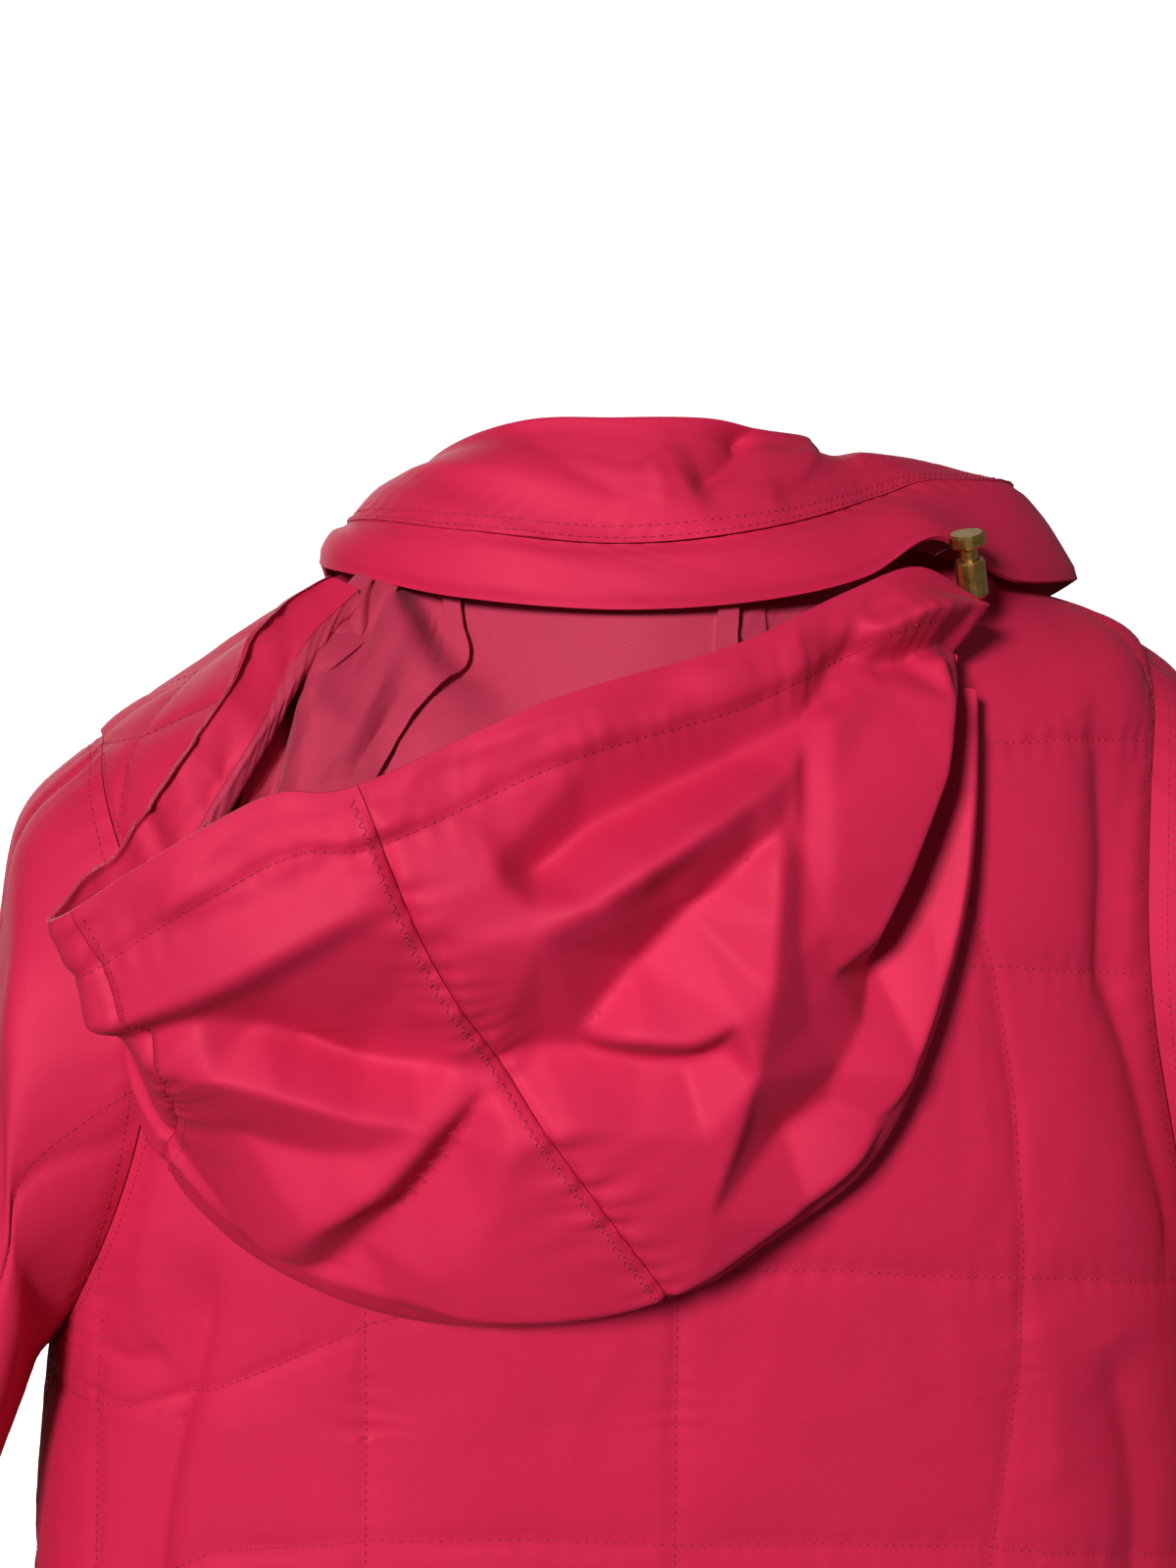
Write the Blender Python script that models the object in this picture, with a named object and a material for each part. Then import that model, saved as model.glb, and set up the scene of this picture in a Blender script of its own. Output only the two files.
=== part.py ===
"""Hooded quilted jacket in the hollow form it keeps when it is worn.

Metres, +Z up. The front faces -Y and the wearer's left is +X. The origin is the middle of the
neck at the height of the shoulder seams, where the wearer holds the jacket up. The tables are
in centimetres, because a garment is cut in centimetres.
"""
import math

import bmesh
import bpy
import numpy as np
from mathutils import Matrix, Vector

CM = 0.01

# Cloth walls and the gap left open at every seam
BODY_WALL = 0.003
SLEEVE_WALL = 0.0025
COLLAR_WALL = 0.0016
HOOD_WALL = 0.0013
LINING_WALL = 0.0008
TAPE_WALL = 0.0007
SEAM_GAP = 0.0003
LAYER_GAP = 0.0004

# Body: rings from the hem up to the neckline. The sides, the middle of the back and the middle
# of the front each have a height, because the neckline dips at the front.
TORSO_COLUMNS = ("side_z", "half_width", "back_y", "back_z", "front_y", "front_z", "power")
TORSO = np.array((
    (-62.0, 22.2, 11.8, -62.0, 12.3, -62.0, 2.6),
    (-55.0, 21.8, 11.5, -55.0, 12.2, -55.0, 2.6),
    (-46.0, 21.6, 11.1, -46.0, 12.0, -46.0, 2.7),
    (-36.0, 21.1, 11.0, -36.0, 12.0, -36.0, 2.7),
    (-27.5, 20.3, 11.4, -27.5, 12.4, -27.5, 2.7),
    (-21.0, 19.8, 11.7, -21.2, 12.4, -22.5, 2.7),
    (-15.0, 19.3, 11.6, -15.6, 11.6, -18.0, 2.6),
    (-9.5, 18.7, 10.9, -10.8, 10.6, -14.6, 2.5),
    (-5.4, 17.8, 10.0, -7.2, 9.7, -12.2, 2.3),
    (-3.2, 14.0, 8.9, -4.2, 8.8, -10.2, 2.2),
    (-1.6, 10.4, 7.9, -2.2, 8.0, -9.0, 2.1),
    (-0.5, 7.6, 7.0, -0.8, 7.4, -8.3, 2.1),
))
ARMPIT_ROW = 4
TIP_ROW = 8
NECK_ROW = len(TORSO) - 1
RIGHT_LIFT = 0.015
BACK_CUT = math.radians(34)
FRONT_CUT = math.radians(38)
ARMHOLE_STEPS = 8
BACK_COLUMNS = 14
FRONT_COLUMNS = 7
ZIP_HALF_GAP = 0.006

# Sleeves: each ring by its outermost point, its innermost point, its middle and its depth
SLEEVE_COLUMNS = ("outer_x", "outer_z", "inner_x", "inner_z", "middle_y", "half_depth")
SLEEVE = np.array((
    (20.6, -8.2, 20.9, -28.0, -0.2, 8.1),
    (21.7, -13.5, 21.4, -29.2, 0.0, 8.0),
    (23.6, -18.6, 22.2, -31.2, 0.2, 7.7),
    (27.3, -24.6, 23.1, -33.9, 0.3, 7.3),
    (31.0, -31.0, 24.4, -37.6, 0.3, 6.9),
    (33.9, -37.2, 26.2, -41.4, -0.1, 6.5),
    (35.5, -44.0, 27.6, -46.2, -1.6, 6.1),
    (35.9, -52.0, 28.4, -52.4, -4.6, 5.6),
    (35.4, -60.5, 28.9, -59.0, -8.0, 5.1),
))

# Collar: sections round the neck, 0 at the centre back and positive to the wearer's left, as
# distance from the neck's axis and height of the fold, the band's seam and the outer edge
COLLAR_COLUMNS = ("angle", "fold_r", "fold_z", "seam_r", "seam_z", "edge_r", "edge_z")
COLLAR = np.array((
    (-168, 7.5, -5.4, 9.4, -7.8, 10.4, -9.6),
    (-148, 7.4, -3.6, 11.2, -6.5, 12.8, -9.0),
    (-122, 7.1, -0.2, 14.6, -2.6, 16.4, -5.8),
    (-97, 6.7, 2.2, 14.2, 0.9, 16.7, -2.4),
    (-72, 6.3, 3.3, 10.6, 2.2, 13.1, -1.1),
    (-56, 6.2, 3.8, 9.2, 2.0, 11.2, 0.8),
    (-38, 6.1, 4.2, 8.9, 1.8, 10.4, -0.1),
    (-15, 6.2, 4.8, 8.9, 1.5, 10.0, -0.5),
    (12, 6.3, 4.9, 9.0, 1.3, 10.0, -0.6),
    (40, 6.5, 4.7, 9.8, 1.6, 10.5, -0.4),
    (72, 6.8, 3.3, 9.8, 1.3, 10.7, -0.3),
    (105, 7.1, 0.8, 9.3, -0.4, 10.4, -1.6),
    (140, 7.3, -3.0, 10.4, -5.4, 11.8, -7.6),
    (168, 7.5, -5.4, 9.4, -7.8, 10.4, -9.6),
))
FRONT_ANGLE = 85.4
STAND_DROP = 0.9 * CM

# Hood thrown back: one row for each line of cloth that runs from the face opening down the
# outer side, round the fold at the bottom and back up to the neck seam. The first rows are the
# right side, the middle ones the crown strip, the last ones the left side. Its far end hangs
# free of the shoulder.
HOOD_COLUMNS = ("rim_x", "rim_y", "rim_z", "belly_x", "belly_y", "belly_z",
                "bottom_x", "bottom_z", "fold_depth", "neck_angle", "hangs_free")
HOOD = np.array((
    (-9.8, 8.6, -0.7, -9.9, 9.3, -2.4, -9.9, -4.4, 1.0, -64, 0.0),
    (-7.6, 10.0, 0.5, -8.2, 11.8, -4.1, -9.2, -9.3, 1.5, -56, 0.0),
    (-5.0, 11.6, 0.1, -5.8, 14.0, -6.1, -7.6, -14.6, 1.8, -47, 0.0),
    (-0.9, 13.6, -1.1, -2.1, 15.8, -7.7, -5.6, -18.2, 1.9, -36, 0.0),
    (4.8, 15.2, -2.2, 2.8, 16.8, -8.8, -2.6, -20.4, 1.9, -24, 0.0),
    (10.6, 15.9, -4.4, 8.2, 17.0, -10.4, 0.5, -22.1, 2.0, -12, 0.0),
    (13.0, 15.8, -4.6, 10.2, 16.6, -11.9, 4.6, -22.8, 2.0, 3, 0.0),
    (15.3, 15.3, -5.8, 12.7, 16.1, -12.5, 9.6, -22.3, 2.0, 18, 0.0),
    (17.3, 14.4, -7.2, 15.1, 15.1, -13.4, 13.8, -20.5, 1.8, 32, 0.0),
    (19.0, 13.6, -8.5, 16.7, 14.0, -13.6, 16.4, -18.1, 1.5, 46, 0.0),
    (19.7, 12.6, -9.0, 18.0, 12.9, -13.0, 17.3, -15.9, 1.1, 51, 0.3),
    (18.4, 11.6, -7.9, 18.0, 11.8, -10.8, 17.0, -12.8, 0.8, 55, 0.6),
    (16.4, 10.4, -5.8, 16.3, 10.6, -7.9, 15.5, -9.4, 0.6, 59, 1.0),
    (13.9, 8.9, -2.6, 13.9, 9.2, -4.4, 13.3, -5.6, 0.5, 63, 1.0),
    (12.4, 7.2, -0.9, 12.4, 7.6, -2.2, 11.9, -3.2, 0.5, 67, 1.0),
    (10.6, 5.6, 0.0, 10.7, 5.9, -0.8, 10.3, -1.5, 0.5, 71, 1.0),
))
CROWN_START = 5
CROWN_END = 9
LAST_HALF = 11
HOOD_NECK_R = 8.2 * CM
HOOD_NECK_Z = 0.1 * CM
HOOD_CLEARANCE = 0.7 * CM
HOOD_RISE = 0.3 * CM
FOLD_BACK = 0.9 * CM
HOOD_SPANS = (3, 4, 1, 1, 3, 2)
CASING_ROWS = 2
TAPE_ROWS = 5
TAPE_WIDTH = 0.7 * CM

# Main folds of the hood's outer side: a line, its half width and its height, below 0 a trough
CREASE_COLUMNS = ("start_x", "start_z", "end_x", "end_z", "half_width", "height")
CREASES = np.array((
    (-5.6, -3.0, 5.0, -6.6, 1.4, -0.6),
    (-2.8, -5.8, 3.7, -12.2, 1.4, -0.6),
    (0.3, -13.2, 11.8, -12.0, 1.5, -0.6),
    (-2.1, -7.4, 0.6, -20.0, 1.2, 0.7),
    (-9.1, -2.1, -3.8, -12.7, 1.3, -0.8),
    (7.1, -14.2, 12.9, -20.7, 1.4, -0.6),
    (8.6, -7.4, 18.0, -11.9, 1.2, -0.6),
))

# Zip: the tapes' reach behind the fronts, the slider and its arch, the pull tab
TAPE_REACH = 0.016
SLIDER_Z = -0.135
SLIDER_WIDTH = 0.0092
SLIDER_LENGTH = 0.0130
SLIDER_HEIGHT = 0.0036
SLIDER_TOP = 0.0008
ARCH_REACH = 0.0040
ARCH_WALL = 0.0012
ARCH_TOP = 0.0046
ARCH_WIDTH = 0.0026
PULL_AXIS = 0.0021
PULL_LENGTH = 0.030
PULL_WIDTH = 0.0075
PULL_THICKNESS = 0.0013
PULL_BAR = 0.0014
PULL_ARM = 0.0011
PULL_EYE_WIDTH = 0.0060
PULL_EYE_DROP = 0.0052

# Toggle: a barrel with a bore and the sprung button whose stem slides in it
TOGGLE_PLACE = (-0.1025, 0.0715, -0.0105)
TOGGLE_LEAN = (math.radians(-4), math.radians(9), 0.0)
BARREL_RADIUS = 0.0050
BARREL_LENGTH = 0.0125
BARREL_EDGE = 0.0008
BORE_RADIUS = 0.0036
BORE_FLOOR = 0.0030
STEM_SHOWN = 0.0045
CAP_RADIUS = 0.0060
CAP_HEIGHT = 0.0045
PLUNGER_TRAVEL = 0.003
ROUND_SIDES = 16

MATERIALS = {
    "shell": ((0.60, 0.030, 0.085), 0.42, 0.0),
    "lining": ((0.42, 0.075, 0.125), 0.65, 0.0),
    "zip_tape": ((0.45, 0.020, 0.060), 0.75, 0.0),
    "gold_metal": ((0.62, 0.40, 0.12), 0.30, 1.0),
}


def clear_scene():
    """Empty the scene that the script is run in."""
    for item in list(bpy.data.objects):
        bpy.data.objects.remove(item, do_unlink=True)


def make_material(name):
    """One Principled material from its row in MATERIALS."""
    colour, roughness, metallic = MATERIALS[name]
    material = bpy.data.materials.new(name)
    material.use_nodes = True
    shader = material.node_tree.nodes["Principled BSDF"]
    shader.inputs["Base Color"].default_value = (*colour, 1.0)
    shader.inputs["Roughness"].default_value = roughness
    shader.inputs["Metallic"].default_value = metallic
    material.diffuse_color = (*colour, 1.0)
    return material


def add_object(name, mesh, material, parent):
    """Link a mesh under its parent, with its material."""
    mesh.materials.append(material)
    item = bpy.data.objects.new(name, mesh)
    bpy.context.scene.collection.objects.link(item)
    item.parent = parent
    return item


def add_empty(name, place=(0, 0, 0), parent=None):
    """An empty that groups pieces or carries a moving one."""
    item = bpy.data.objects.new(name, None)
    item.empty_display_size = 0.02
    item.location = place
    item.parent = parent
    bpy.context.scene.collection.objects.link(item)
    return item


def spline(rows, position):
    """Row of a table at a fractional row number, on a smooth curve through the rows."""
    last = len(rows) - 1
    base = min(int(position), last - 1)
    f = position - base
    p1, p2 = rows[base], rows[base + 1]
    p0 = rows[base - 1] if base > 0 else 2 * p1 - p2
    p3 = rows[base + 2] if base + 2 <= last else 2 * p2 - p1
    straight = 2 * p1 + (p2 - p0) * f
    bent = (2 * p0 - 5 * p1 + 4 * p2 - p3) * f * f + (3 * p1 - p0 - 3 * p2 + p3) * f ** 3
    return 0.5 * (straight + bent)


def unit(vectors):
    """Vectors of length 1 along the last axis."""
    return vectors / np.maximum(np.linalg.norm(vectors, axis=-1, keepdims=True), 1e-12)


def smooth_step(value):
    """0 below 0, 1 above 1, and a soft slope between."""
    t = min(1.0, max(0.0, value))
    return t * t * (3 - 2 * t)


def settle(point):
    """The right shoulder sits higher than the left one."""
    side = min(1.0, max(0.0, -point[0] / 0.18)) ** 1.5
    upper = smooth_step((point[2] + 0.30) / 0.20)
    return point + np.array((0.0, 0.0, RIGHT_LIFT * side * upper))


def torso_point(angle, row):
    """Point on the body's outer face. Angle 0 is the centre back, positive to the left."""
    side_z, width, back_y, back_z, front_y, front_z, power = spline(TORSO, row)
    s, c = math.sin(angle), math.cos(angle)
    depth, middle_z = (back_y, back_z) if c >= 0 else (front_y, front_z)
    x = width * math.copysign(abs(s) ** (2 / power), s)
    y = depth * math.copysign(abs(c) ** (2 / power), c)
    z = side_z + (middle_z - side_z) * c * c
    return settle(np.array((x, y, z)) * CM)


def torso_normal(angle, row):
    """Direction out of the body at a point of its outer face."""
    step = 0.02
    low, high = max(0.0, row - step), min(float(NECK_ROW), row + step)
    up = torso_point(angle, high) - torso_point(angle, low)
    round_about = torso_point(angle + step, row) - torso_point(angle - step, row)
    return unit(np.cross(up, round_about))


def back_surface_y(x, z):
    """How far back the body reaches at a given width and height, in metres."""
    low, high = 0.0, float(NECK_ROW)
    for _ in range(26):
        row = (low + high) / 2
        side_z, width, depth, middle_z, _, _, power = spline(TORSO, row)
        s = min(0.97, abs(x) / (width * CM)) ** (power / 2)
        c = math.sqrt(1 - s * s)
        found = settle(np.array((x, 0.0, (side_z + (middle_z - side_z) * c * c) * CM)))[2]
        if found < z:
            low = row
        else:
            high = row
    return depth * CM * c ** (2 / power)


def clear_of_back(x, z):
    """How far back cloth lies that keeps the hood's clearance to a sloping back."""
    step = 0.002
    here = back_surface_y(x, z)
    across = (back_surface_y(x + step, z) - back_surface_y(x - step, z)) / (2 * step)
    upwards = (back_surface_y(x, z + step) - back_surface_y(x, z - step)) / (2 * step)
    return here + HOOD_CLEARANCE * min(1.8, math.sqrt(1 + across ** 2 + upwards ** 2))


def grid_normals(points, wrap=False):
    """Direction out of a grid of points whose rows go up and whose columns go to the right
    as seen from outside."""
    along = np.gradient(points, axis=0)
    if wrap:
        across = (np.roll(points, -1, axis=1) - np.roll(points, 1, axis=1)) / 2
    else:
        across = np.gradient(points, axis=1)
    return unit(np.cross(across, along))


def wall(name, points, normals, thickness, material, parent, wrap=False):
    """A closed sheet: the outer face through the points, the inner one a wall inside it."""
    rows, columns = points.shape[:2]
    bm = bmesh.new()
    layers = []
    for layer_points in (points, points - normals * thickness):
        layers.append([[bm.verts.new(p) for p in row] for row in layer_points])
    outer, inner = layers
    steps = columns if wrap else columns - 1
    for i in range(rows - 1):
        for j in range(steps):
            k = (j + 1) % columns
            bm.faces.new((outer[i][j], outer[i][k], outer[i + 1][k], outer[i + 1][j]))
            bm.faces.new((inner[i][j], inner[i + 1][j], inner[i + 1][k], inner[i][k]))
    for j in range(steps):
        k = (j + 1) % columns
        bm.faces.new((outer[0][k], outer[0][j], inner[0][j], inner[0][k]))
        bm.faces.new((outer[-1][j], outer[-1][k], inner[-1][k], inner[-1][j]))
    if not wrap:
        for i in range(rows - 1):
            bm.faces.new((outer[i][0], outer[i + 1][0], inner[i + 1][0], inner[i][0]))
            bm.faces.new((outer[i + 1][-1], outer[i][-1], inner[i][-1], inner[i + 1][-1]))
    bmesh.ops.recalc_face_normals(bm, faces=bm.faces[:])
    mesh = bpy.data.meshes.new(name)
    bm.to_mesh(mesh)
    bm.free()
    mesh.shade_smooth()
    mesh.set_sharp_from_angle(angle=math.radians(50))
    return add_object(name, mesh, material, parent)


def open_seam(points, column, towards):
    """Draw one edge column back from its seam by half the gap."""
    inwards = unit(points[:, towards] - points[:, column])
    points[:, column] += inwards * SEAM_GAP / 2


# ---------------------------------------------------------------- body and sleeves

def armhole_share(step):
    """Height of a step of the armhole, 0 at the armpit and 1 at the shoulder's tip."""
    return (1 - math.cos(math.pi * step / ARMHOLE_STEPS)) / 2


def body_rows():
    """Row numbers that every body panel has a line of points on."""
    below = [float(k) for k in range(ARMPIT_ROW + 1)]
    armhole = [ARMPIT_ROW + (TIP_ROW - ARMPIT_ROW) * armhole_share(k)
               for k in range(1, ARMHOLE_STEPS + 1)]
    above = [TIP_ROW + 0.75 * k for k in range(1, 5)]
    return below + armhole + above


def side_edge(row, cut):
    """Angle from the middle line to a panel's side edge: side seam, armhole or shoulder."""
    if ARMPIT_ROW < row < TIP_ROW:
        share = (row - ARMPIT_ROW) / (TIP_ROW - ARMPIT_ROW)
        return math.pi / 2 - cut * math.sin(math.pi * share) ** 0.6
    return math.pi / 2


def armhole_loop(side):
    """The armhole's angles and rows, from the shoulder's tip down the back and up the front."""
    loop = []
    for k in range(ARMHOLE_STEPS, 0, -1):
        row = ARMPIT_ROW + (TIP_ROW - ARMPIT_ROW) * armhole_share(k)
        loop.append((side * side_edge(row, BACK_CUT), row))
    for k in range(ARMHOLE_STEPS):
        row = ARMPIT_ROW + (TIP_ROW - ARMPIT_ROW) * armhole_share(k)
        loop.append((side * (math.pi - side_edge(row, FRONT_CUT)), row))
    return loop


def sleeve_rings(side):
    """Points of a sleeve, ring after ring from the armhole to the cuff."""
    loop = armhole_loop(side)
    count = len(loop)
    first = np.array([torso_point(angle, row) for angle, row in loop])
    rings = [first]
    for outer_x, outer_z, inner_x, inner_z, middle_y, half_depth in SLEEVE:
        middle = np.array(((outer_x + inner_x) / 2, middle_y, (outer_z + inner_z) / 2))
        half = np.array(((outer_x - inner_x) / 2, 0.0, (outer_z - inner_z) / 2))
        ring = []
        for k in range(count):
            turn = 2 * math.pi * k / count
            point = middle + half * math.cos(turn)
            point = point + np.array((0.0, half_depth * math.sin(turn), 0.0))
            point = point * np.array((side, 1.0, 1.0)) * CM
            ring.append(settle(point))
        rings.append(np.array(ring))
    return np.array(rings)


def sleeve_grid(side):
    """The sleeve's rings with more of them between the table's rows."""
    rings = sleeve_rings(side)
    stations = [0.0, 0.5, 1.0, 1.5, 2.0, 2.5, 3.0, 4.0, 5.0, 6.0, 7.0, 8.0, 9.0]
    return np.array([spline(rings, s) for s in stations])


def sleeve_out(points, side):
    """Direction out of a sleeve at each point."""
    normals = grid_normals(points, wrap=True)
    middle = points[5].mean(axis=0)
    outwards = np.sum(normals[5, 0] * (points[5, 0] - middle)) > 0
    return normals if outwards else -normals


def armhole_seams(side):
    """For each point of the armhole: thickness direction of the body and of the sleeve, and
    the way each is drawn back from the seam."""
    loop = armhole_loop(side)
    sleeve = sleeve_grid(side)
    ring = sleeve[0]
    count = len(ring)
    sleeve_normals = sleeve_out(sleeve, side)[0]
    seams = {}
    for k, (angle, row) in enumerate(loop):
        body_normal = torso_normal(angle, row)
        sleeve_normal = sleeve_normals[k]
        together = unit(body_normal + sleeve_normal)
        share = smooth_step((float(np.dot(body_normal, sleeve_normal)) + 0.2) / 0.6)
        tangent = unit(ring[(k + 1) % count] - ring[k - 1])
        down_sleeve = unit(sleeve[1][k] - ring[k])
        body_way = unit(np.cross(body_normal, tangent))
        if np.dot(body_way, down_sleeve) > 0:
            body_way = -body_way
        seams[k] = (unit(body_normal * (1 - share) + together * share),
                    unit(sleeve_normal * (1 - share) + together * share),
                    body_way, down_sleeve)
    return seams


def body_panel(name, side_sign, cut, inner_angle, columns, material, parent):
    """One body panel between its side edge and an inner line, or the whole back."""
    rows = body_rows()
    points = np.zeros((len(rows), columns + 1, 3))
    normals = np.zeros_like(points)
    for i, row in enumerate(rows):
        start, end = inner_angle(row, cut)
        for j in range(columns + 1):
            angle = start + (end - start) * j / columns
            points[i, j] = torso_point(angle, row)
            normals[i, j] = torso_normal(angle, row)
    armhole_start = rows.index(float(ARMPIT_ROW))
    for column, neighbour, sign in side_sign:
        back_side = cut == BACK_CUT
        seams = armhole_seams(sign)
        inwards = unit(points[:, neighbour] - points[:, column])
        for i, row in enumerate(rows):
            step = i - armhole_start
            if 0 <= step <= ARMHOLE_STEPS:
                loop_index = ARMHOLE_STEPS - step if back_side else ARMHOLE_STEPS + step
                loop_index %= 2 * ARMHOLE_STEPS
                body_normal, _, body_way, _ = seams[loop_index]
                normals[i, column] = body_normal
                points[i, column] += body_way * SEAM_GAP
            if not 0 < step < ARMHOLE_STEPS:
                points[i, column] += inwards[i] * SEAM_GAP / 2
    return wall(name, points, normals, BODY_WALL, material, parent)


def build_body(materials, parent):
    """The back, the two fronts and the two sleeves."""
    def across_back(row, cut):
        edge = side_edge(row, cut)
        return edge, -edge

    def half_front(sign):
        def span(row, cut):
            width, power = spline(TORSO, row)[[1, 6]]
            zip_angle = math.asin((ZIP_HALF_GAP / (width * CM)) ** (power / 2))
            return sign * (math.pi - side_edge(row, cut)), sign * (math.pi - zip_angle)
        return span

    body_panel("back", ((0, 1, 1), (-1, -2, -1)), BACK_CUT, across_back, BACK_COLUMNS,
               materials["shell"], parent)
    for name, sign in (("front_left", 1), ("front_right", -1)):
        body_panel(name, ((0, 1, sign),), FRONT_CUT, half_front(sign), FRONT_COLUMNS,
                   materials["shell"], parent)
    for name, sign in (("sleeve_left", 1), ("sleeve_right", -1)):
        points = sleeve_grid(sign)
        normals = sleeve_out(points, sign)
        for k, (_, sleeve_normal, _, down_sleeve) in armhole_seams(sign).items():
            normals[0, k] = sleeve_normal
            points[0, k] += down_sleeve * SEAM_GAP
        wall(name, points, normals, SLEEVE_WALL, materials["shell"], parent, wrap=True)


# ---------------------------------------------------------------- collar

def round_neck(angle, radius, height):
    """Point at a distance from the neck's axis, radius and height in centimetres."""
    turn = math.radians(angle)
    return np.array((radius * math.sin(turn), radius * math.cos(turn), height)) * CM


def collar_row(angle):
    """Row of the collar's table at an angle round the neck."""
    low, high = 0.0, float(len(COLLAR) - 1)
    for _ in range(26):
        position = (low + high) / 2
        if spline(COLLAR, position)[0] < angle:
            low = position
        else:
            high = position
    return spline(COLLAR, position)


def collar_angles():
    """Angles of the collar's sections, which are those of the body's columns of points."""
    half = [180 * k / BACK_COLUMNS for k in range(BACK_COLUMNS // 2 + 1)]
    half += [90 + FRONT_ANGLE * k / FRONT_COLUMNS for k in range(1, FRONT_COLUMNS)]
    half.append(COLLAR[-1][0])
    return [-angle for angle in half[:0:-1]] + half


def collar_sections():
    """Sections of the stand, the fall and the band, one after the other round the neck."""
    stand, fall, band = [], [], []
    for angle in collar_angles():
        _, fold_r, fold_z, seam_r, seam_z, edge_r, edge_z = collar_row(angle)
        foot = torso_point(math.radians(angle), NECK_ROW) + np.array((0, 0, SEAM_GAP * 3))
        drop = STAND_DROP / CM
        top_of_stand = round_neck(angle, fold_r - 0.40, fold_z - drop)
        middle = (foot + top_of_stand) / 2
        stand.append((foot, middle, top_of_stand))
        seam = round_neck(angle, seam_r, seam_z)
        fall.append((top_of_stand + np.array((0, 0, SEAM_GAP)),
                     round_neck(angle, fold_r - 0.28, fold_z - 0.25),
                     round_neck(angle, fold_r + 0.08, fold_z),
                     round_neck(angle, fold_r + 0.50, fold_z - 0.35),
                     round_neck(angle, fold_r * 0.5 + seam_r * 0.5 + 0.28,
                                fold_z * 0.5 + seam_z * 0.5 + 0.22),
                     seam))
        edge = round_neck(angle, edge_r, edge_z)
        slope = unit(edge - seam)
        band.append((seam + slope * SEAM_GAP * 1.5,
                     (seam + edge) / 2 + round_neck(angle, 0.12, 0.10), edge))
    return [np.array(part).transpose(1, 0, 2) for part in (stand, fall, band)]


def build_collar(materials, parent):
    """The stand round the neck, the fall folded over it and the band on its outer edge."""
    stand, fall, band = collar_sections()
    stand_normals = -grid_normals(stand)
    both = np.concatenate((fall, band[1:]))
    both_normals = grid_normals(both)
    middle = len(stand[0]) // 2
    if both_normals[4, middle, 1] < 0:
        both_normals = -both_normals
    if stand_normals[0, middle, 1] < 0:
        stand_normals = -stand_normals
    wall("collar_stand", stand, stand_normals, COLLAR_WALL, materials["shell"], parent)
    wall("collar_fall", fall, both_normals[:len(fall)], COLLAR_WALL, materials["shell"], parent)
    wall("collar_band", band, both_normals[len(fall) - 1:], COLLAR_WALL, materials["shell"],
         parent)


# ---------------------------------------------------------------- hood

def crease_height(x, z):
    """Sum of the main folds at a place on the hood's outer side, in metres."""
    total = 0.0
    for start_x, start_z, end_x, end_z, half_width, height in CREASES * CM:
        run = np.array((end_x - start_x, end_z - start_z))
        length = np.linalg.norm(run)
        to_point = np.array((x - start_x, z - start_z))
        along = float(np.dot(to_point, run)) / length ** 2
        off = abs(float(np.cross(run, to_point))) / length
        ends = smooth_step((along + 0.15) / 0.35) * smooth_step((1.15 - along) / 0.35)
        total += height * ends * math.exp(-(off / half_width) ** 2)
    return total


def hood_controls(row):
    """The points that one line of the hood's cloth passes through."""
    (rim_x, rim_y, rim_z, belly_x, belly_y, belly_z,
     bottom_x, bottom_z, fold_depth, neck_angle, hangs_free) = row
    rim = np.array((rim_x, rim_y, rim_z)) * CM
    belly = np.array((belly_x, belly_y, belly_z)) * CM
    neck = round_neck(neck_angle, HOOD_NECK_R / CM, HOOD_NECK_Z / CM)
    foot = np.array((bottom_x, 0.0, bottom_z)) * CM
    to_belly = unit((belly - foot) * np.array((1, 0, 1)))
    to_neck = unit((neck - foot) * np.array((1, 0, 1)))
    fold_back = min(FOLD_BACK, 0.35 * np.linalg.norm((belly - foot)[[0, 2]]))
    near_low, far_low = foot + to_belly * fold_back, foot + to_neck * fold_back
    far_middle = (far_low + neck) / 2 + np.array((0, 0, HOOD_RISE))
    for point, depth, share in ((near_low, 1.0, 0.92), (foot, 0.5, 0.85), (far_low, 0.0, 0.75),
                                (far_middle, 0.0, 0.4)):
        free_y = neck[1] + (belly[1] - neck[1]) * share * hangs_free
        point[1] = max(free_y, clear_of_back(point[0], point[2]) + depth * fold_depth * CM)
    return np.array((rim, belly, near_low, foot, far_low, far_middle, neck))


def curve_through(points, spans):
    """Points on a curve through the control points, which keeps short spans from looping."""
    before = 2 * points[0] - points[1]
    after = 2 * points[-1] - points[-2]
    knots = np.vstack((before, points, after))
    result = []
    for k, steps in enumerate(spans):
        p = knots[k:k + 4]
        t = np.concatenate(((0.0,), np.cumsum(np.linalg.norm(np.diff(p, axis=0), axis=1) ** 0.5)))
        for step in range(steps):
            f = t[1] + (t[2] - t[1]) * step / steps
            a = [((t[i + 1] - f) * p[i] + (f - t[i]) * p[i + 1]) / (t[i + 1] - t[i])
                 for i in range(3)]
            b = [((t[i + 2] - f) * a[i] + (f - t[i]) * a[i + 1]) / (t[i + 2] - t[i])
                 for i in range(2)]
            result.append(((t[2] - f) * b[0] + (f - t[1]) * b[1]) / (t[2] - t[1]))
    result.append(points[-1])
    return np.array(result)


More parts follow.
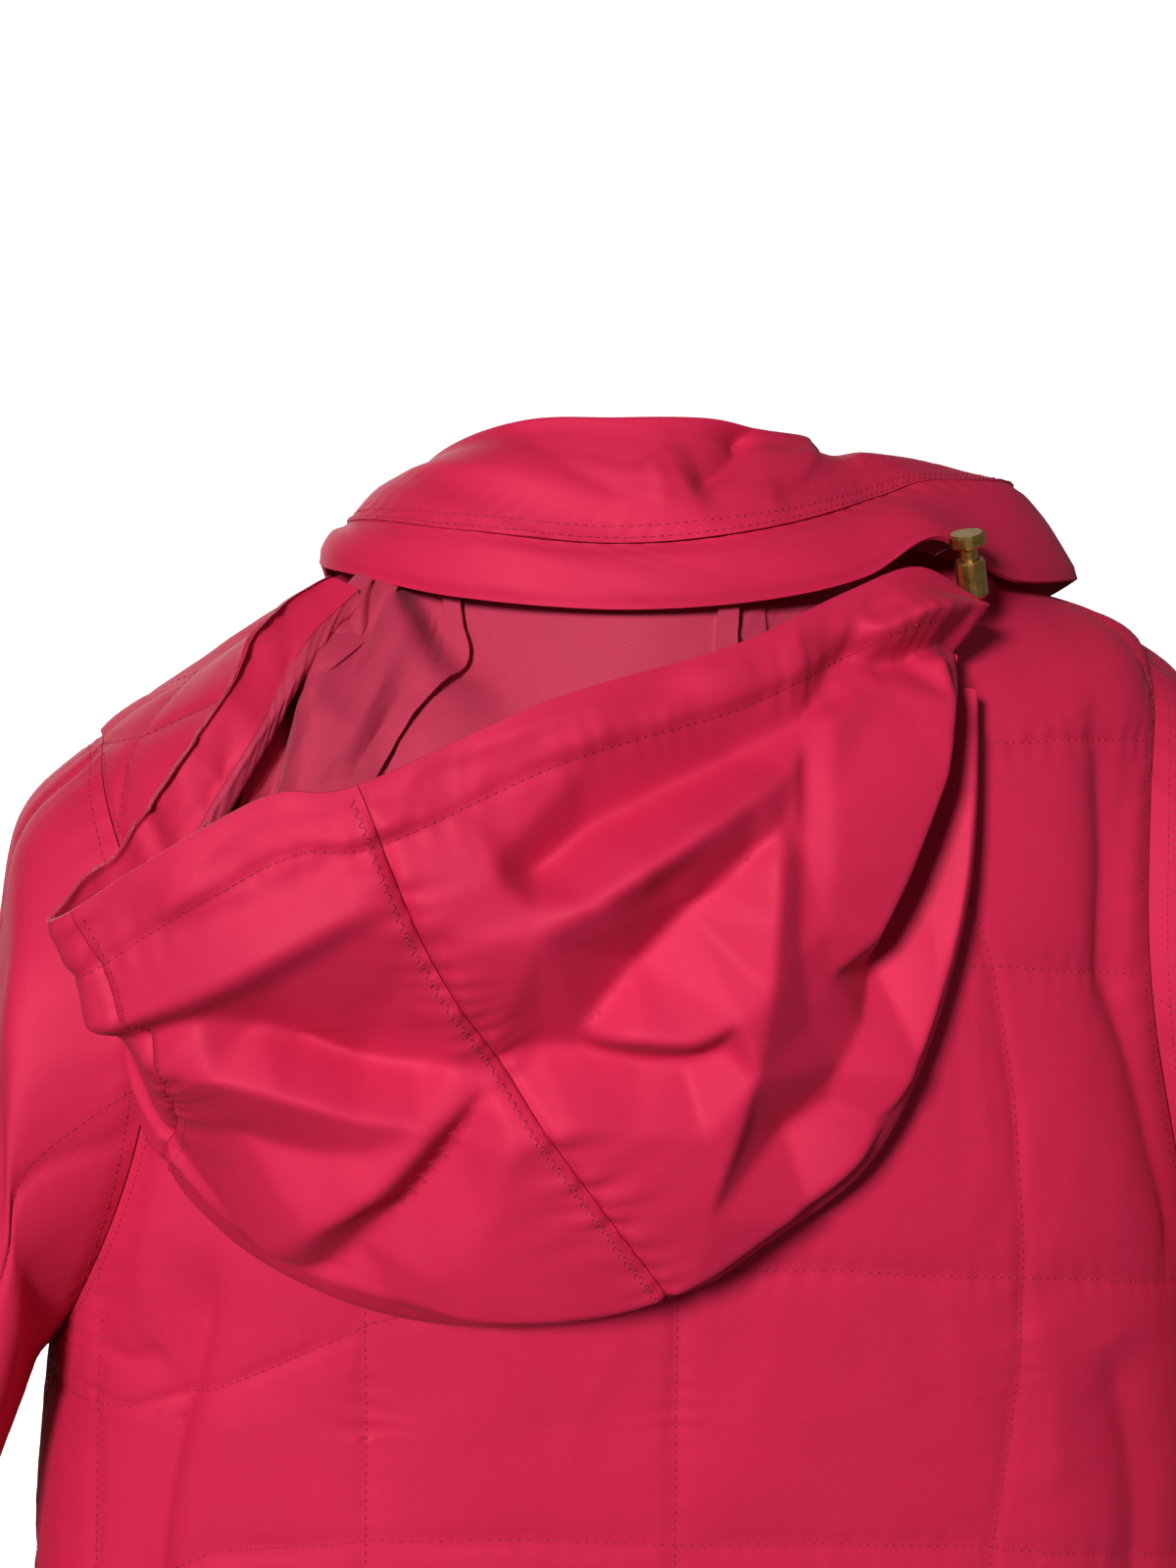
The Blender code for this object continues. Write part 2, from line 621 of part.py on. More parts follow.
def hood_grid(stations, spans):
    """The hood's outer face: columns run round the opening, rows from the rim to the neck."""
    columns = [curve_through(hood_controls(spline(HOOD, s)), spans) for s in stations]
    points = np.array(columns).transpose(1, 0, 2)
    normals = grid_normals(points)
    if normals[spans[0], len(stations) // 3, 1] < 0:
        normals = -normals
    outer_rows = spans[0] + spans[1]
    for i in range(outer_rows):
        fade = smooth_step(i / 3) * smooth_step((outer_rows - i) / 2)
        for j in range(len(stations)):
            if stations[j] <= CROWN_END:
                height = crease_height(points[i, j, 0], points[i, j, 2]) * fade
                points[i, j] += normals[i, j] * height
    normals = grid_normals(points)
    if normals[spans[0], len(stations) // 3, 1] < 0:
        normals = -normals
    return points, normals


def hood_stations():
    """Where the hood has its columns of points, as fractional rows of its table."""
    halves = [0.5 * k for k in range(2 * LAST_HALF + 1)]
    return halves + [float(k) for k in range(LAST_HALF + 1, len(HOOD))]


def split_hood(points, normals, stations, part):
    """The columns of one hood piece, drawn back from its seams."""
    ranges = {"side_right": (0, CROWN_START), "crown": (CROWN_START, CROWN_END),
              "side_left": (CROWN_END, len(HOOD) - 1)}
    first, last = ranges[part]
    start, stop = stations.index(float(first)), stations.index(float(last)) + 1
    piece = points[:, start:stop].copy()
    piece_normals = normals[:, start:stop].copy()
    if start > 0:
        open_seam(piece, 0, 1)
    if stop < len(stations):
        open_seam(piece, -1, -2)
    return piece, piece_normals


def build_hood(materials, parent):
    """Shell, casing, lining and the tapes on the lining's seams."""
    stations = hood_stations()
    points, normals = hood_grid(stations, HOOD_SPANS)
    for part in ("side_right", "crown", "side_left"):
        piece, piece_normals = split_hood(points, normals, stations, part)
        wall("hood_" + part, piece, piece_normals, HOOD_WALL, materials["shell"], parent)

    under = points - normals * (HOOD_WALL + LAYER_GAP)
    leaf = under[:CASING_ROWS + 1].copy()
    leaf[-1] += unit(leaf[-2] - leaf[-1]) * SEAM_GAP / 2
    wall("hood_casing", leaf, normals[:CASING_ROWS + 1], LINING_WALL, materials["shell"], parent)
    for part in ("side_right", "crown", "side_left"):
        piece, piece_normals = split_hood(under, normals, stations, part)
        piece, piece_normals = piece[CASING_ROWS:], piece_normals[CASING_ROWS:]
        piece[0] += unit(piece[1] - piece[0]) * SEAM_GAP / 2
        wall("lining_" + part, piece, piece_normals, LINING_WALL, materials["lining"], parent)
    on_lining = under - normals * (LINING_WALL + LAYER_GAP * 1.5)
    for name, seam in (("lining_tape_right", CROWN_START), ("lining_tape_left", CROWN_END)):
        column = stations.index(float(seam))
        middle = on_lining[-TAPE_ROWS:, column]
        strip = [middle + unit(on_lining[-TAPE_ROWS:, column + side] - middle) * TAPE_WIDTH / 2
                 for side in (-1, 1)]
        strip = np.array((strip[0], middle, strip[1])).transpose(1, 0, 2)
        strip_normals = np.repeat(normals[-TAPE_ROWS:, column:column + 1], 3, axis=1)
        wall(name, strip, strip_normals, TAPE_WALL, materials["lining"], parent)


# ---------------------------------------------------------------- zip and toggle

def angle_at(row, x):
    """Angle of the front's point that lies x from the middle line."""
    width, power = spline(TORSO, row)[[1, 6]]
    return math.pi - math.asin((x / (width * CM)) ** (power / 2))


def extrude_outline(outline, half_height, axes, name):
    """A prism: an outline in the plane of the first two axes, grown along the third."""
    first, second, third = axes
    bm = bmesh.new()
    layers = []
    for height in (-half_height, half_height):
        layers.append([bm.verts.new(first * a + second * b + third * height)
                       for a, b in outline])
    low, high = layers
    bm.faces.new(low)
    bm.faces.new(high)
    for k in range(len(outline)):
        nxt = (k + 1) % len(outline)
        bm.faces.new((low[k], low[nxt], high[nxt], high[k]))
    bmesh.ops.recalc_face_normals(bm, faces=bm.faces[:])
    mesh = bpy.data.meshes.new(name)
    bm.to_mesh(mesh)
    bm.free()
    return mesh


def boolean(item, tool, operation):
    """Join a hidden tool to a piece, or cut it out of the piece."""
    tool.hide_render = True
    tool.display_type = "WIRE"
    modifier = item.modifiers.new(operation.title(), "BOOLEAN")
    modifier.operation = operation
    modifier.object = tool


def slider_frame():
    """Matrix of the slider: X across the zip, Y up along it and Z out of the front."""
    low, high = 0.0, float(NECK_ROW)
    for _ in range(26):
        row = (low + high) / 2
        if torso_point(math.pi, row)[2] < SLIDER_Z:
            low = row
        else:
            high = row
    place = Vector(torso_point(math.pi, row))
    up = Vector(unit(torso_point(math.pi, row + 0.05) - torso_point(math.pi, row - 0.05)))
    across = Vector((1.0, 0.0, 0.0))
    out = across.cross(up)
    frame = Matrix((across, up, out)).transposed().to_4x4()
    frame.translation = place
    return frame


def build_zip(materials, parent):
    """Two tapes behind the front edges, the slider and its pull tab."""
    rows = body_rows()
    for name, sign in (("zip_tape_left", 1), ("zip_tape_right", -1)):
        points, normals = [], []
        for row in rows:
            angles = [sign * angle_at(row, x) for x in (SEAM_GAP / 2, TAPE_REACH / 2, TAPE_REACH)]
            points.append([torso_point(a, row) for a in angles])
            normals.append([torso_normal(a, row) for a in angles])
        normals = np.array(normals)
        points = np.array(points) - normals * (BODY_WALL + LAYER_GAP)
        wall(name, points, normals, TAPE_WALL, materials["zip_tape"], parent)

    x, y, z = Vector((1, 0, 0)), Vector((0, 1, 0)), Vector((0, 0, 1))
    frame = slider_frame()
    half_width, half_length = SLIDER_WIDTH / 2, SLIDER_LENGTH / 2
    taper = half_width * 0.35
    body = [(-half_width, half_length), (-half_width, -taper), (-taper, -half_length),
            (taper, -half_length), (half_width, -taper), (half_width, half_length)]
    mesh = extrude_outline(body, SLIDER_HEIGHT / 2, (x, y, z), "zip_slider")
    slider = add_object("zip_slider", mesh, materials["gold_metal"], parent)
    slider.matrix_world = frame @ Matrix.Translation((0, 0, SLIDER_TOP - SLIDER_HEIGHT / 2))

    leg, crown = ARCH_REACH - ARCH_WALL, ARCH_TOP - ARCH_WALL
    foot = SLIDER_TOP - ARCH_WALL / 2
    arch = [(-ARCH_REACH, foot), (-ARCH_REACH, crown), (-leg, ARCH_TOP), (leg, ARCH_TOP),
            (ARCH_REACH, crown), (ARCH_REACH, foot), (leg, foot), (leg, crown - ARCH_WALL / 4),
            (-leg, crown - ARCH_WALL / 4), (-leg, foot)]
    mesh = extrude_outline(arch, ARCH_WIDTH / 2, (y, z, x), "slider_arch")
    arch_piece = add_object("slider_arch", mesh, materials["gold_metal"], parent)
    arch_piece.matrix_world = frame
    boolean(slider, arch_piece, "UNION")

    pivot = add_empty("zip_pull_pivot", parent=parent)
    pivot.matrix_world = frame @ Matrix.Translation((0, 0, PULL_AXIS))
    eye, half = PULL_EYE_WIDTH / 2, PULL_WIDTH / 2
    outline = [(-eye, PULL_BAR / 2), (-eye, -PULL_EYE_DROP), (-half, -PULL_EYE_DROP * 1.3),
               (-half, half - PULL_LENGTH)]
    for k in range(1, 8):
        turn = math.pi * (1 + k / 8)
        outline.append((half * math.cos(turn), half * math.sin(turn) + half - PULL_LENGTH))
    outline += [(half, half - PULL_LENGTH), (half, -PULL_EYE_DROP * 1.3), (eye, -PULL_EYE_DROP),
                (eye, PULL_BAR / 2)]
    mesh = extrude_outline(outline, PULL_THICKNESS / 2, (x, y, z), "zip_pull")
    pull = add_object("zip_pull", mesh, materials["gold_metal"], pivot)
    hole_half = eye - PULL_ARM
    hole = [(-hole_half, -PULL_BAR / 2), (-hole_half, -PULL_EYE_DROP),
            (hole_half, -PULL_EYE_DROP), (hole_half, -PULL_BAR / 2)]
    mesh = extrude_outline(hole, PULL_THICKNESS, (x, y, z), "pull_hole")
    boolean(pull, add_object("pull_hole", mesh, materials["gold_metal"], pivot), "DIFFERENCE")


def turned(name, profile, material, parent):
    """A turned piece: (radius, height) points from the bottom of the axis to its top."""
    bm = bmesh.new()
    rings = []
    for radius, height in profile:
        if radius == 0.0:
            rings.append([bm.verts.new((0, 0, height))])
            continue
        turns = [2 * math.pi * k / ROUND_SIDES for k in range(ROUND_SIDES)]
        rings.append([bm.verts.new((radius * math.cos(t), radius * math.sin(t), height))
                      for t in turns])
    for low, high in zip(rings, rings[1:]):
        for k in range(ROUND_SIDES):
            corners = [low[k % len(low)], low[(k + 1) % len(low)],
                       high[(k + 1) % len(high)], high[k % len(high)]]
            bm.faces.new(list(dict.fromkeys(corners)))
    bmesh.ops.recalc_face_normals(bm, faces=bm.faces[:])
    mesh = bpy.data.meshes.new(name)
    bm.to_mesh(mesh)
    bm.free()
    mesh.shade_smooth()
    mesh.set_sharp_from_angle(angle=math.radians(40))
    return add_object(name, mesh, material, parent)


def build_toggle(materials, parent):
    """The cord lock at the end of the hood's casing: a barrel and the button pressed into it."""
    pivot = add_empty("toggle_axis", TOGGLE_PLACE, parent)
    pivot.rotation_euler = TOGGLE_LEAN
    edge = BARREL_EDGE
    barrel = [(0.0, 0.0), (BARREL_RADIUS - edge, 0.0), (BARREL_RADIUS, edge),
              (BARREL_RADIUS, BARREL_LENGTH - edge), (BARREL_RADIUS - edge, BARREL_LENGTH),
              (BORE_RADIUS, BARREL_LENGTH), (BORE_RADIUS, BORE_FLOOR), (0.0, BORE_FLOOR)]
    turned("toggle_barrel", barrel, materials["gold_metal"], pivot)
    stem = BORE_RADIUS - 2 * SEAM_GAP
    cap_foot = BARREL_LENGTH + STEM_SHOWN
    cap_top = cap_foot + CAP_HEIGHT
    plunger = [(0.0, BORE_FLOOR + PLUNGER_TRAVEL + SEAM_GAP * 2),
               (stem, BORE_FLOOR + PLUNGER_TRAVEL + SEAM_GAP * 2), (stem, cap_foot),
               (CAP_RADIUS - edge, cap_foot), (CAP_RADIUS, cap_foot + edge),
               (CAP_RADIUS, cap_top - edge), (CAP_RADIUS - edge, cap_top), (0.0, cap_top)]
    turned("toggle_plunger", plunger, materials["gold_metal"], pivot)


# ---------------------------------------------------------------- the part

def main():
    """Build every piece under one empty at the origin."""
    clear_scene()
    materials = {name: make_material(name) for name in MATERIALS}
    jacket = add_empty("jacket")
    build_body(materials, jacket)
    build_collar(materials, jacket)
    build_hood(materials, jacket)
    build_zip(materials, jacket)
    build_toggle(materials, jacket)


main()
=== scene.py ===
"""Visual pieces of a hooded quilted jacket, dressed over its CAD frame.

Metres, +Z up. The front faces -Y and the wearer's left is +X. Tables are in centimetres.
Every piece of cloth starts as a fine grid of points from the same tables as its solid. Folds,
puckers and quilting lift the grid along its outward directions, and a wall closes it.
"""
import math

import bpy
import numpy as np
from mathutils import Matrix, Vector
from mathutils.geometry import delaunay_2d_cdt


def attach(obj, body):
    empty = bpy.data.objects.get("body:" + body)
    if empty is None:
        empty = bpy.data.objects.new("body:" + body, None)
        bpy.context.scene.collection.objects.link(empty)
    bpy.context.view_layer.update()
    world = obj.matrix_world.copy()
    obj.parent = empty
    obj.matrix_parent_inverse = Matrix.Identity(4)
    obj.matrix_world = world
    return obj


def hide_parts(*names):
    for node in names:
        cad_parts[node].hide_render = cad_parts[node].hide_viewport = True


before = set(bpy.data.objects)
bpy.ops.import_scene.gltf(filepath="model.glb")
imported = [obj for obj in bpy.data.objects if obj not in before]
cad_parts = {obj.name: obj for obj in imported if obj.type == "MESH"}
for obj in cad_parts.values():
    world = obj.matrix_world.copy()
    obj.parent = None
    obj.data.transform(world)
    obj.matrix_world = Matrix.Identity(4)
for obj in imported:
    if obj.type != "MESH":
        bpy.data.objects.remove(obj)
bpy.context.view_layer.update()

bl_info = {
    "name": "Hooded Quilted Jacket",
    "version": (1, 0, 0),
    "blender": (4, 5, 0),
    "location": "3D View > Sidebar > Jacket",
    "description": "Builds the cloth, stitching and fastenings of a hooded quilted jacket",
    "category": "Add Mesh",
}

CM = 0.01
MM = 0.001

# ---------------------------------------------------------------- tables of the form

TORSO_COLUMNS = ("side_z", "half_width", "back_y", "back_z", "front_y", "front_z", "power")
TORSO = np.array((
    (-62.0, 22.2, 11.8, -62.0, 12.3, -62.0, 2.6),
    (-55.0, 21.8, 11.5, -55.0, 12.2, -55.0, 2.6),
    (-46.0, 21.6, 11.1, -46.0, 12.0, -46.0, 2.7),
    (-36.0, 21.1, 11.0, -36.0, 12.0, -36.0, 2.7),
    (-27.5, 20.3, 11.4, -27.5, 12.4, -27.5, 2.7),
    (-21.0, 19.8, 11.7, -21.2, 12.4, -22.5, 2.7),
    (-15.0, 19.3, 11.6, -15.6, 11.6, -18.0, 2.6),
    (-9.5, 18.7, 10.9, -10.8, 10.6, -14.6, 2.5),
    (-5.4, 17.8, 10.0, -7.2, 9.7, -12.2, 2.3),
    (-3.2, 14.0, 8.9, -4.2, 8.8, -10.2, 2.2),
    (-1.6, 10.4, 7.9, -2.2, 8.0, -9.0, 2.1),
    (-0.5, 7.6, 7.0, -0.8, 7.4, -8.3, 2.1),
))
ARMPIT_ROW = 4
TIP_ROW = 8
NECK_ROW = len(TORSO) - 1
# How much the right shoulder is lifted, the distance out over which it is, and the height range
RIGHT_LIFT = 0.015
RIGHT_LIFT_OUT = 0.18
RIGHT_LIFT_FOOT, RIGHT_LIFT_RISE = -0.30, 0.20
# How far the left shoulder's cloth lies below the plain form, and where that begins
LEFT_DROP = 0.0100
LEFT_DROP_X, LEFT_DROP_OUT = 0.095, 0.080
LEFT_DROP_Z, LEFT_DROP_RISE = -0.16, 0.09
BACK_CUT = math.radians(34)
FRONT_CUT = math.radians(38)
ZIP_HALF_GAP = 0.006

SLEEVE_COLUMNS = ("outer_x", "outer_z", "inner_x", "inner_z", "middle_y", "half_depth")
SLEEVE = np.array((
    (20.6, -8.2, 20.9, -28.0, -0.2, 8.1),
    (21.7, -13.5, 21.4, -29.2, 0.0, 8.0),
    (23.6, -18.6, 22.2, -31.2, 0.2, 7.7),
    (27.3, -24.6, 23.1, -33.9, 0.3, 7.3),
    (31.0, -31.0, 24.4, -37.6, 0.3, 6.9),
    (33.9, -37.2, 26.2, -41.4, -0.1, 6.5),
    (35.5, -44.0, 27.6, -46.2, -1.6, 6.1),
    (35.9, -52.0, 28.4, -52.4, -4.6, 5.6),
    (35.4, -60.5, 28.9, -59.0, -8.0, 5.1),
))

COLLAR_COLUMNS = ("angle", "fold_r", "fold_z", "seam_r", "seam_z", "edge_r", "edge_z")
COLLAR = np.array((
    (-168, 7.5, -5.4, 9.4, -7.8, 10.4, -9.6),
    (-148, 7.4, -3.6, 11.2, -6.5, 12.8, -9.0),
    (-122, 7.1, -0.2, 14.6, -2.6, 16.4, -5.8),
    (-97, 6.7, 2.2, 14.2, 0.9, 16.7, -2.4),
    (-72, 6.3, 3.3, 10.6, 2.2, 13.1, -1.1),
    (-56, 6.2, 3.8, 9.2, 2.0, 11.2, 0.8),
    (-38, 6.1, 4.2, 8.9, 1.8, 10.4, -0.1),
    (-15, 6.2, 4.8, 8.9, 1.5, 10.0, -0.5),
    (12, 6.3, 4.9, 9.0, 1.3, 10.0, -0.6),
    (40, 6.5, 4.7, 9.8, 1.6, 10.5, -0.4),
    (72, 6.8, 3.3, 9.8, 1.3, 10.7, -0.3),
    (105, 7.1, 0.8, 9.3, -0.4, 10.4, -1.6),
    (140, 7.3, -3.0, 10.4, -5.4, 11.8, -7.6),
    (168, 7.5, -5.4, 9.4, -7.8, 10.4, -9.6),
))
STAND_DROP = 0.9

HOOD_COLUMNS = ("rim_x", "rim_y", "rim_z", "belly_x", "belly_y", "belly_z",
                "bottom_x", "bottom_z", "fold_depth", "neck_angle", "hangs_free")
HOOD = np.array((
    (-9.8, 8.6, -0.7, -9.9, 9.3, -2.4, -9.9, -4.4, 1.0, -64, 0.0),
    (-7.6, 10.0, 0.5, -8.2, 11.8, -4.1, -9.2, -9.3, 1.5, -56, 0.0),
    (-5.0, 11.6, 0.1, -5.8, 14.0, -6.1, -7.6, -14.6, 1.8, -47, 0.0),
    (-0.9, 13.6, -1.1, -2.1, 15.8, -7.7, -5.6, -18.2, 1.9, -36, 0.0),
    (4.8, 15.2, -2.2, 2.8, 16.8, -8.8, -2.6, -20.4, 1.9, -24, 0.0),
    (10.6, 15.9, -4.4, 8.2, 17.0, -10.4, 0.5, -22.1, 2.0, -12, 0.0),
    (13.0, 15.8, -4.6, 10.2, 16.6, -11.9, 4.6, -22.8, 2.0, 3, 0.0),
    (15.3, 15.3, -5.8, 12.7, 16.1, -12.5, 9.6, -22.3, 2.0, 18, 0.0),
    (17.3, 14.4, -7.2, 15.1, 15.1, -13.4, 13.8, -20.5, 1.8, 32, 0.0),
    (19.0, 13.6, -8.5, 16.7, 14.0, -13.6, 16.4, -18.1, 1.5, 46, 0.0),
    (19.7, 12.6, -9.0, 18.0, 12.9, -13.0, 17.3, -15.9, 1.1, 51, 0.3),
    (18.4, 11.6, -7.9, 18.0, 11.8, -10.8, 17.0, -12.8, 0.8, 55, 0.6),
    (16.4, 10.4, -5.8, 16.3, 10.6, -7.9, 15.5, -9.4, 0.6, 59, 1.0),
    (13.9, 8.9, -2.6, 13.9, 9.2, -4.4, 13.3, -5.6, 0.5, 63, 1.0),
    (12.4, 7.2, -0.9, 12.4, 7.6, -2.2, 11.9, -3.2, 0.5, 67, 1.0),
    (10.6, 5.6, 0.0, 10.7, 5.9, -0.8, 10.3, -1.5, 0.5, 71, 1.0),
))
CROWN_START = 5
CROWN_END = 9
HOOD_NECK_R = 8.2
HOOD_NECK_Z = 0.1
HOOD_CLEARANCE = 0.007
HOOD_RISE = 0.003
FOLD_BACK = 0.009
CASING_WIDTH = 0.0188

# Walls and gaps
BODY_WALL = 0.003
SLEEVE_WALL = 0.0025
COLLAR_WALL = 0.0016
HOOD_WALL = 0.0013
LINING_WALL = 0.0008
TAPE_HALF_WIDTH = 0.0035
TAPE_HALF_COLUMNS = 4
TAPE_RAISE = 0.0008
TEETH_DEPTH = 0.0027
SLIDER_Z = -0.135
SEAM_GAP = 0.0003
LAYER_GAP = 0.0004

# Pieces below these limits are counted at the limit, so their counted cut is larger than the
# model's: both lining tapes in width, and hood_side_left and lining_side_left in area.
KIT_LEAST_WIDTH = 0.01
KIT_LEAST_AREA = 0.301

# Name of the unwrap, in metres of cloth
UNWRAP = "cloth_metres"

# Fineness of the grids
ROWS_BELOW, ROWS_ARMHOLE, ROWS_ABOVE = 100, 96, 36
BACK_STEPS, FRONT_STEPS = 210, 87
SLEEVE_ALONG = 160
COLLAR_AROUND = 420
HOOD_SPANS = (42, 84, 10, 10, 42, 32)
CASING_STEPS = 28
HOOD_STEPS = {"side_right": 162, "crown": 75, "side_left": 108}
# The hood's relief: shares of its crisp and its soft form, and how often each is softened
RELIEF_SHARES = ((1.05, 2), (0.30, 10))
# Depth and width of the line along each seam of the hood, and along the casing's stitches
SEAM_DIP, SEAM_DIP_WIDTH = 0.0018, 0.0018
CASING_DIP, CASING_DIP_WIDTH = 0.0006, 0.0014
# Heights on the casing: its roll, its lumps and wrinkles, and its bunched left end
CASING_ROLL, CASING_LUMPS, CASING_CRINKLES = 0.0008, 0.0020, 0.0018
BUNCHED_CRINKLES, BUNCHED_SWAY = 0.0034, 0.0036
# How far the hood's left end is pushed in, and the hollow of its far side: depth, place and reach
LEFT_END_PUSH = 0.010
HOLLOW_PUSH = 0.013
HOLLOW_X, HOLLOW_X_REACH = 0.073, 0.020
HOLLOW_Z, HOLLOW_Z_REACH = -0.031, 0.019
HOOD_SEAM_EDGES = {"side_right": ("right",), "crown": ("left", "right"), "side_left": ("left",)}
INNER_STEP = 3

# Quilting: the horizontal lines of the back at places across it, and the vertical ones at
# heights down it. A place across is the distance round the body from the centre back.
QUILT_ACROSS = (-25.0, -19.0, -15.0, -11.0, -5.0, 0.0, 5.0, 10.0, 15.5, 19.0, 25.0)
QUILT_LEVELS = np.array((
    (-7.4, -6.6, -5.9, -5.7, -5.3, -5.2, -5.0, -4.6, -4.3, -5.7, -7.0),
    (-15.5, -14.4, -13.5, -12.7, -12.0, -12.0, -12.0, -12.2, -13.0, -14.2, -16.0),
    (-27.2, -25.4, -24.2, -23.3, -22.3, -22.0, -22.2, -23.4, -26.3, -27.6, -28.6),
    (-37.0, -35.8, -34.4, -33.3, -32.3, -31.9, -31.4, -31.2, -32.0, -34.2, -37.0),
))
QUILT_PITCH = 10.3
QUILT_HEIGHTS = (-62.0, -45.0, -34.0, -27.0, -23.0, -17.4, -12.8, -8.6, 0.0)
QUILT_VERTICALS = np.array((
    (-21.6, -21.6, -21.4, -21.3, -21.2, -21.0, -20.6, -20.2, -19.5),
    (-10.6, -10.7, -11.0, -11.7, -11.8, -11.3, -10.4, -9.0, -7.5),
    (0.1, 0.1, 0.1, 0.2, 0.2, 0.2, 0.1, 0.0, 0.0),
    (10.4, 10.4, 10.4, 10.3, 10.3, 10.3, 10.3, 10.2, 10.0),
    (20.7, 20.7, 20.6, 20.5, 20.3, 20.1, 19.8, 19.4, 19.0),
))
FRONT_LEVELS = (-16.5, -27.8, -36.9, -47.0, -57.0)
FRONT_VERTICALS = (9.8, 19.9)
SLEEVE_LEVELS = (10.5, 20.8, 31.1, 41.4, 51.7)
SLEEVE_TURNS = (0.02, 0.26, 0.52, 0.77)
FRONT_SAG, FRONT_SAG_REACH = 0.9, 0.24
LOFT_ROUNDING = 0.0012
LINE_DEPTH, LINE_WIDTH = 0.0007, 0.0022
PUCKER_REACH = 0.0048
HELD_AT_STITCHES = 0.0015

# Stitched lines: grid rows from the hem and the cuff, distances from the collar's seam, and
# columns from the hood's seams
HEM_ROW = 6.0
SLEEVE_HEAD_ROW, CUFF_ROWS = 2.0, 7.0
COLLAR_INSETS = (0.0016, 0.0052)
ZIGZAG_OFF_SEAM, STITCHES_OFF_SEAM = 2.6, 3.4
ZIGZAG_ANGLE = math.radians(52)
STITCH_JITTER = 0.07

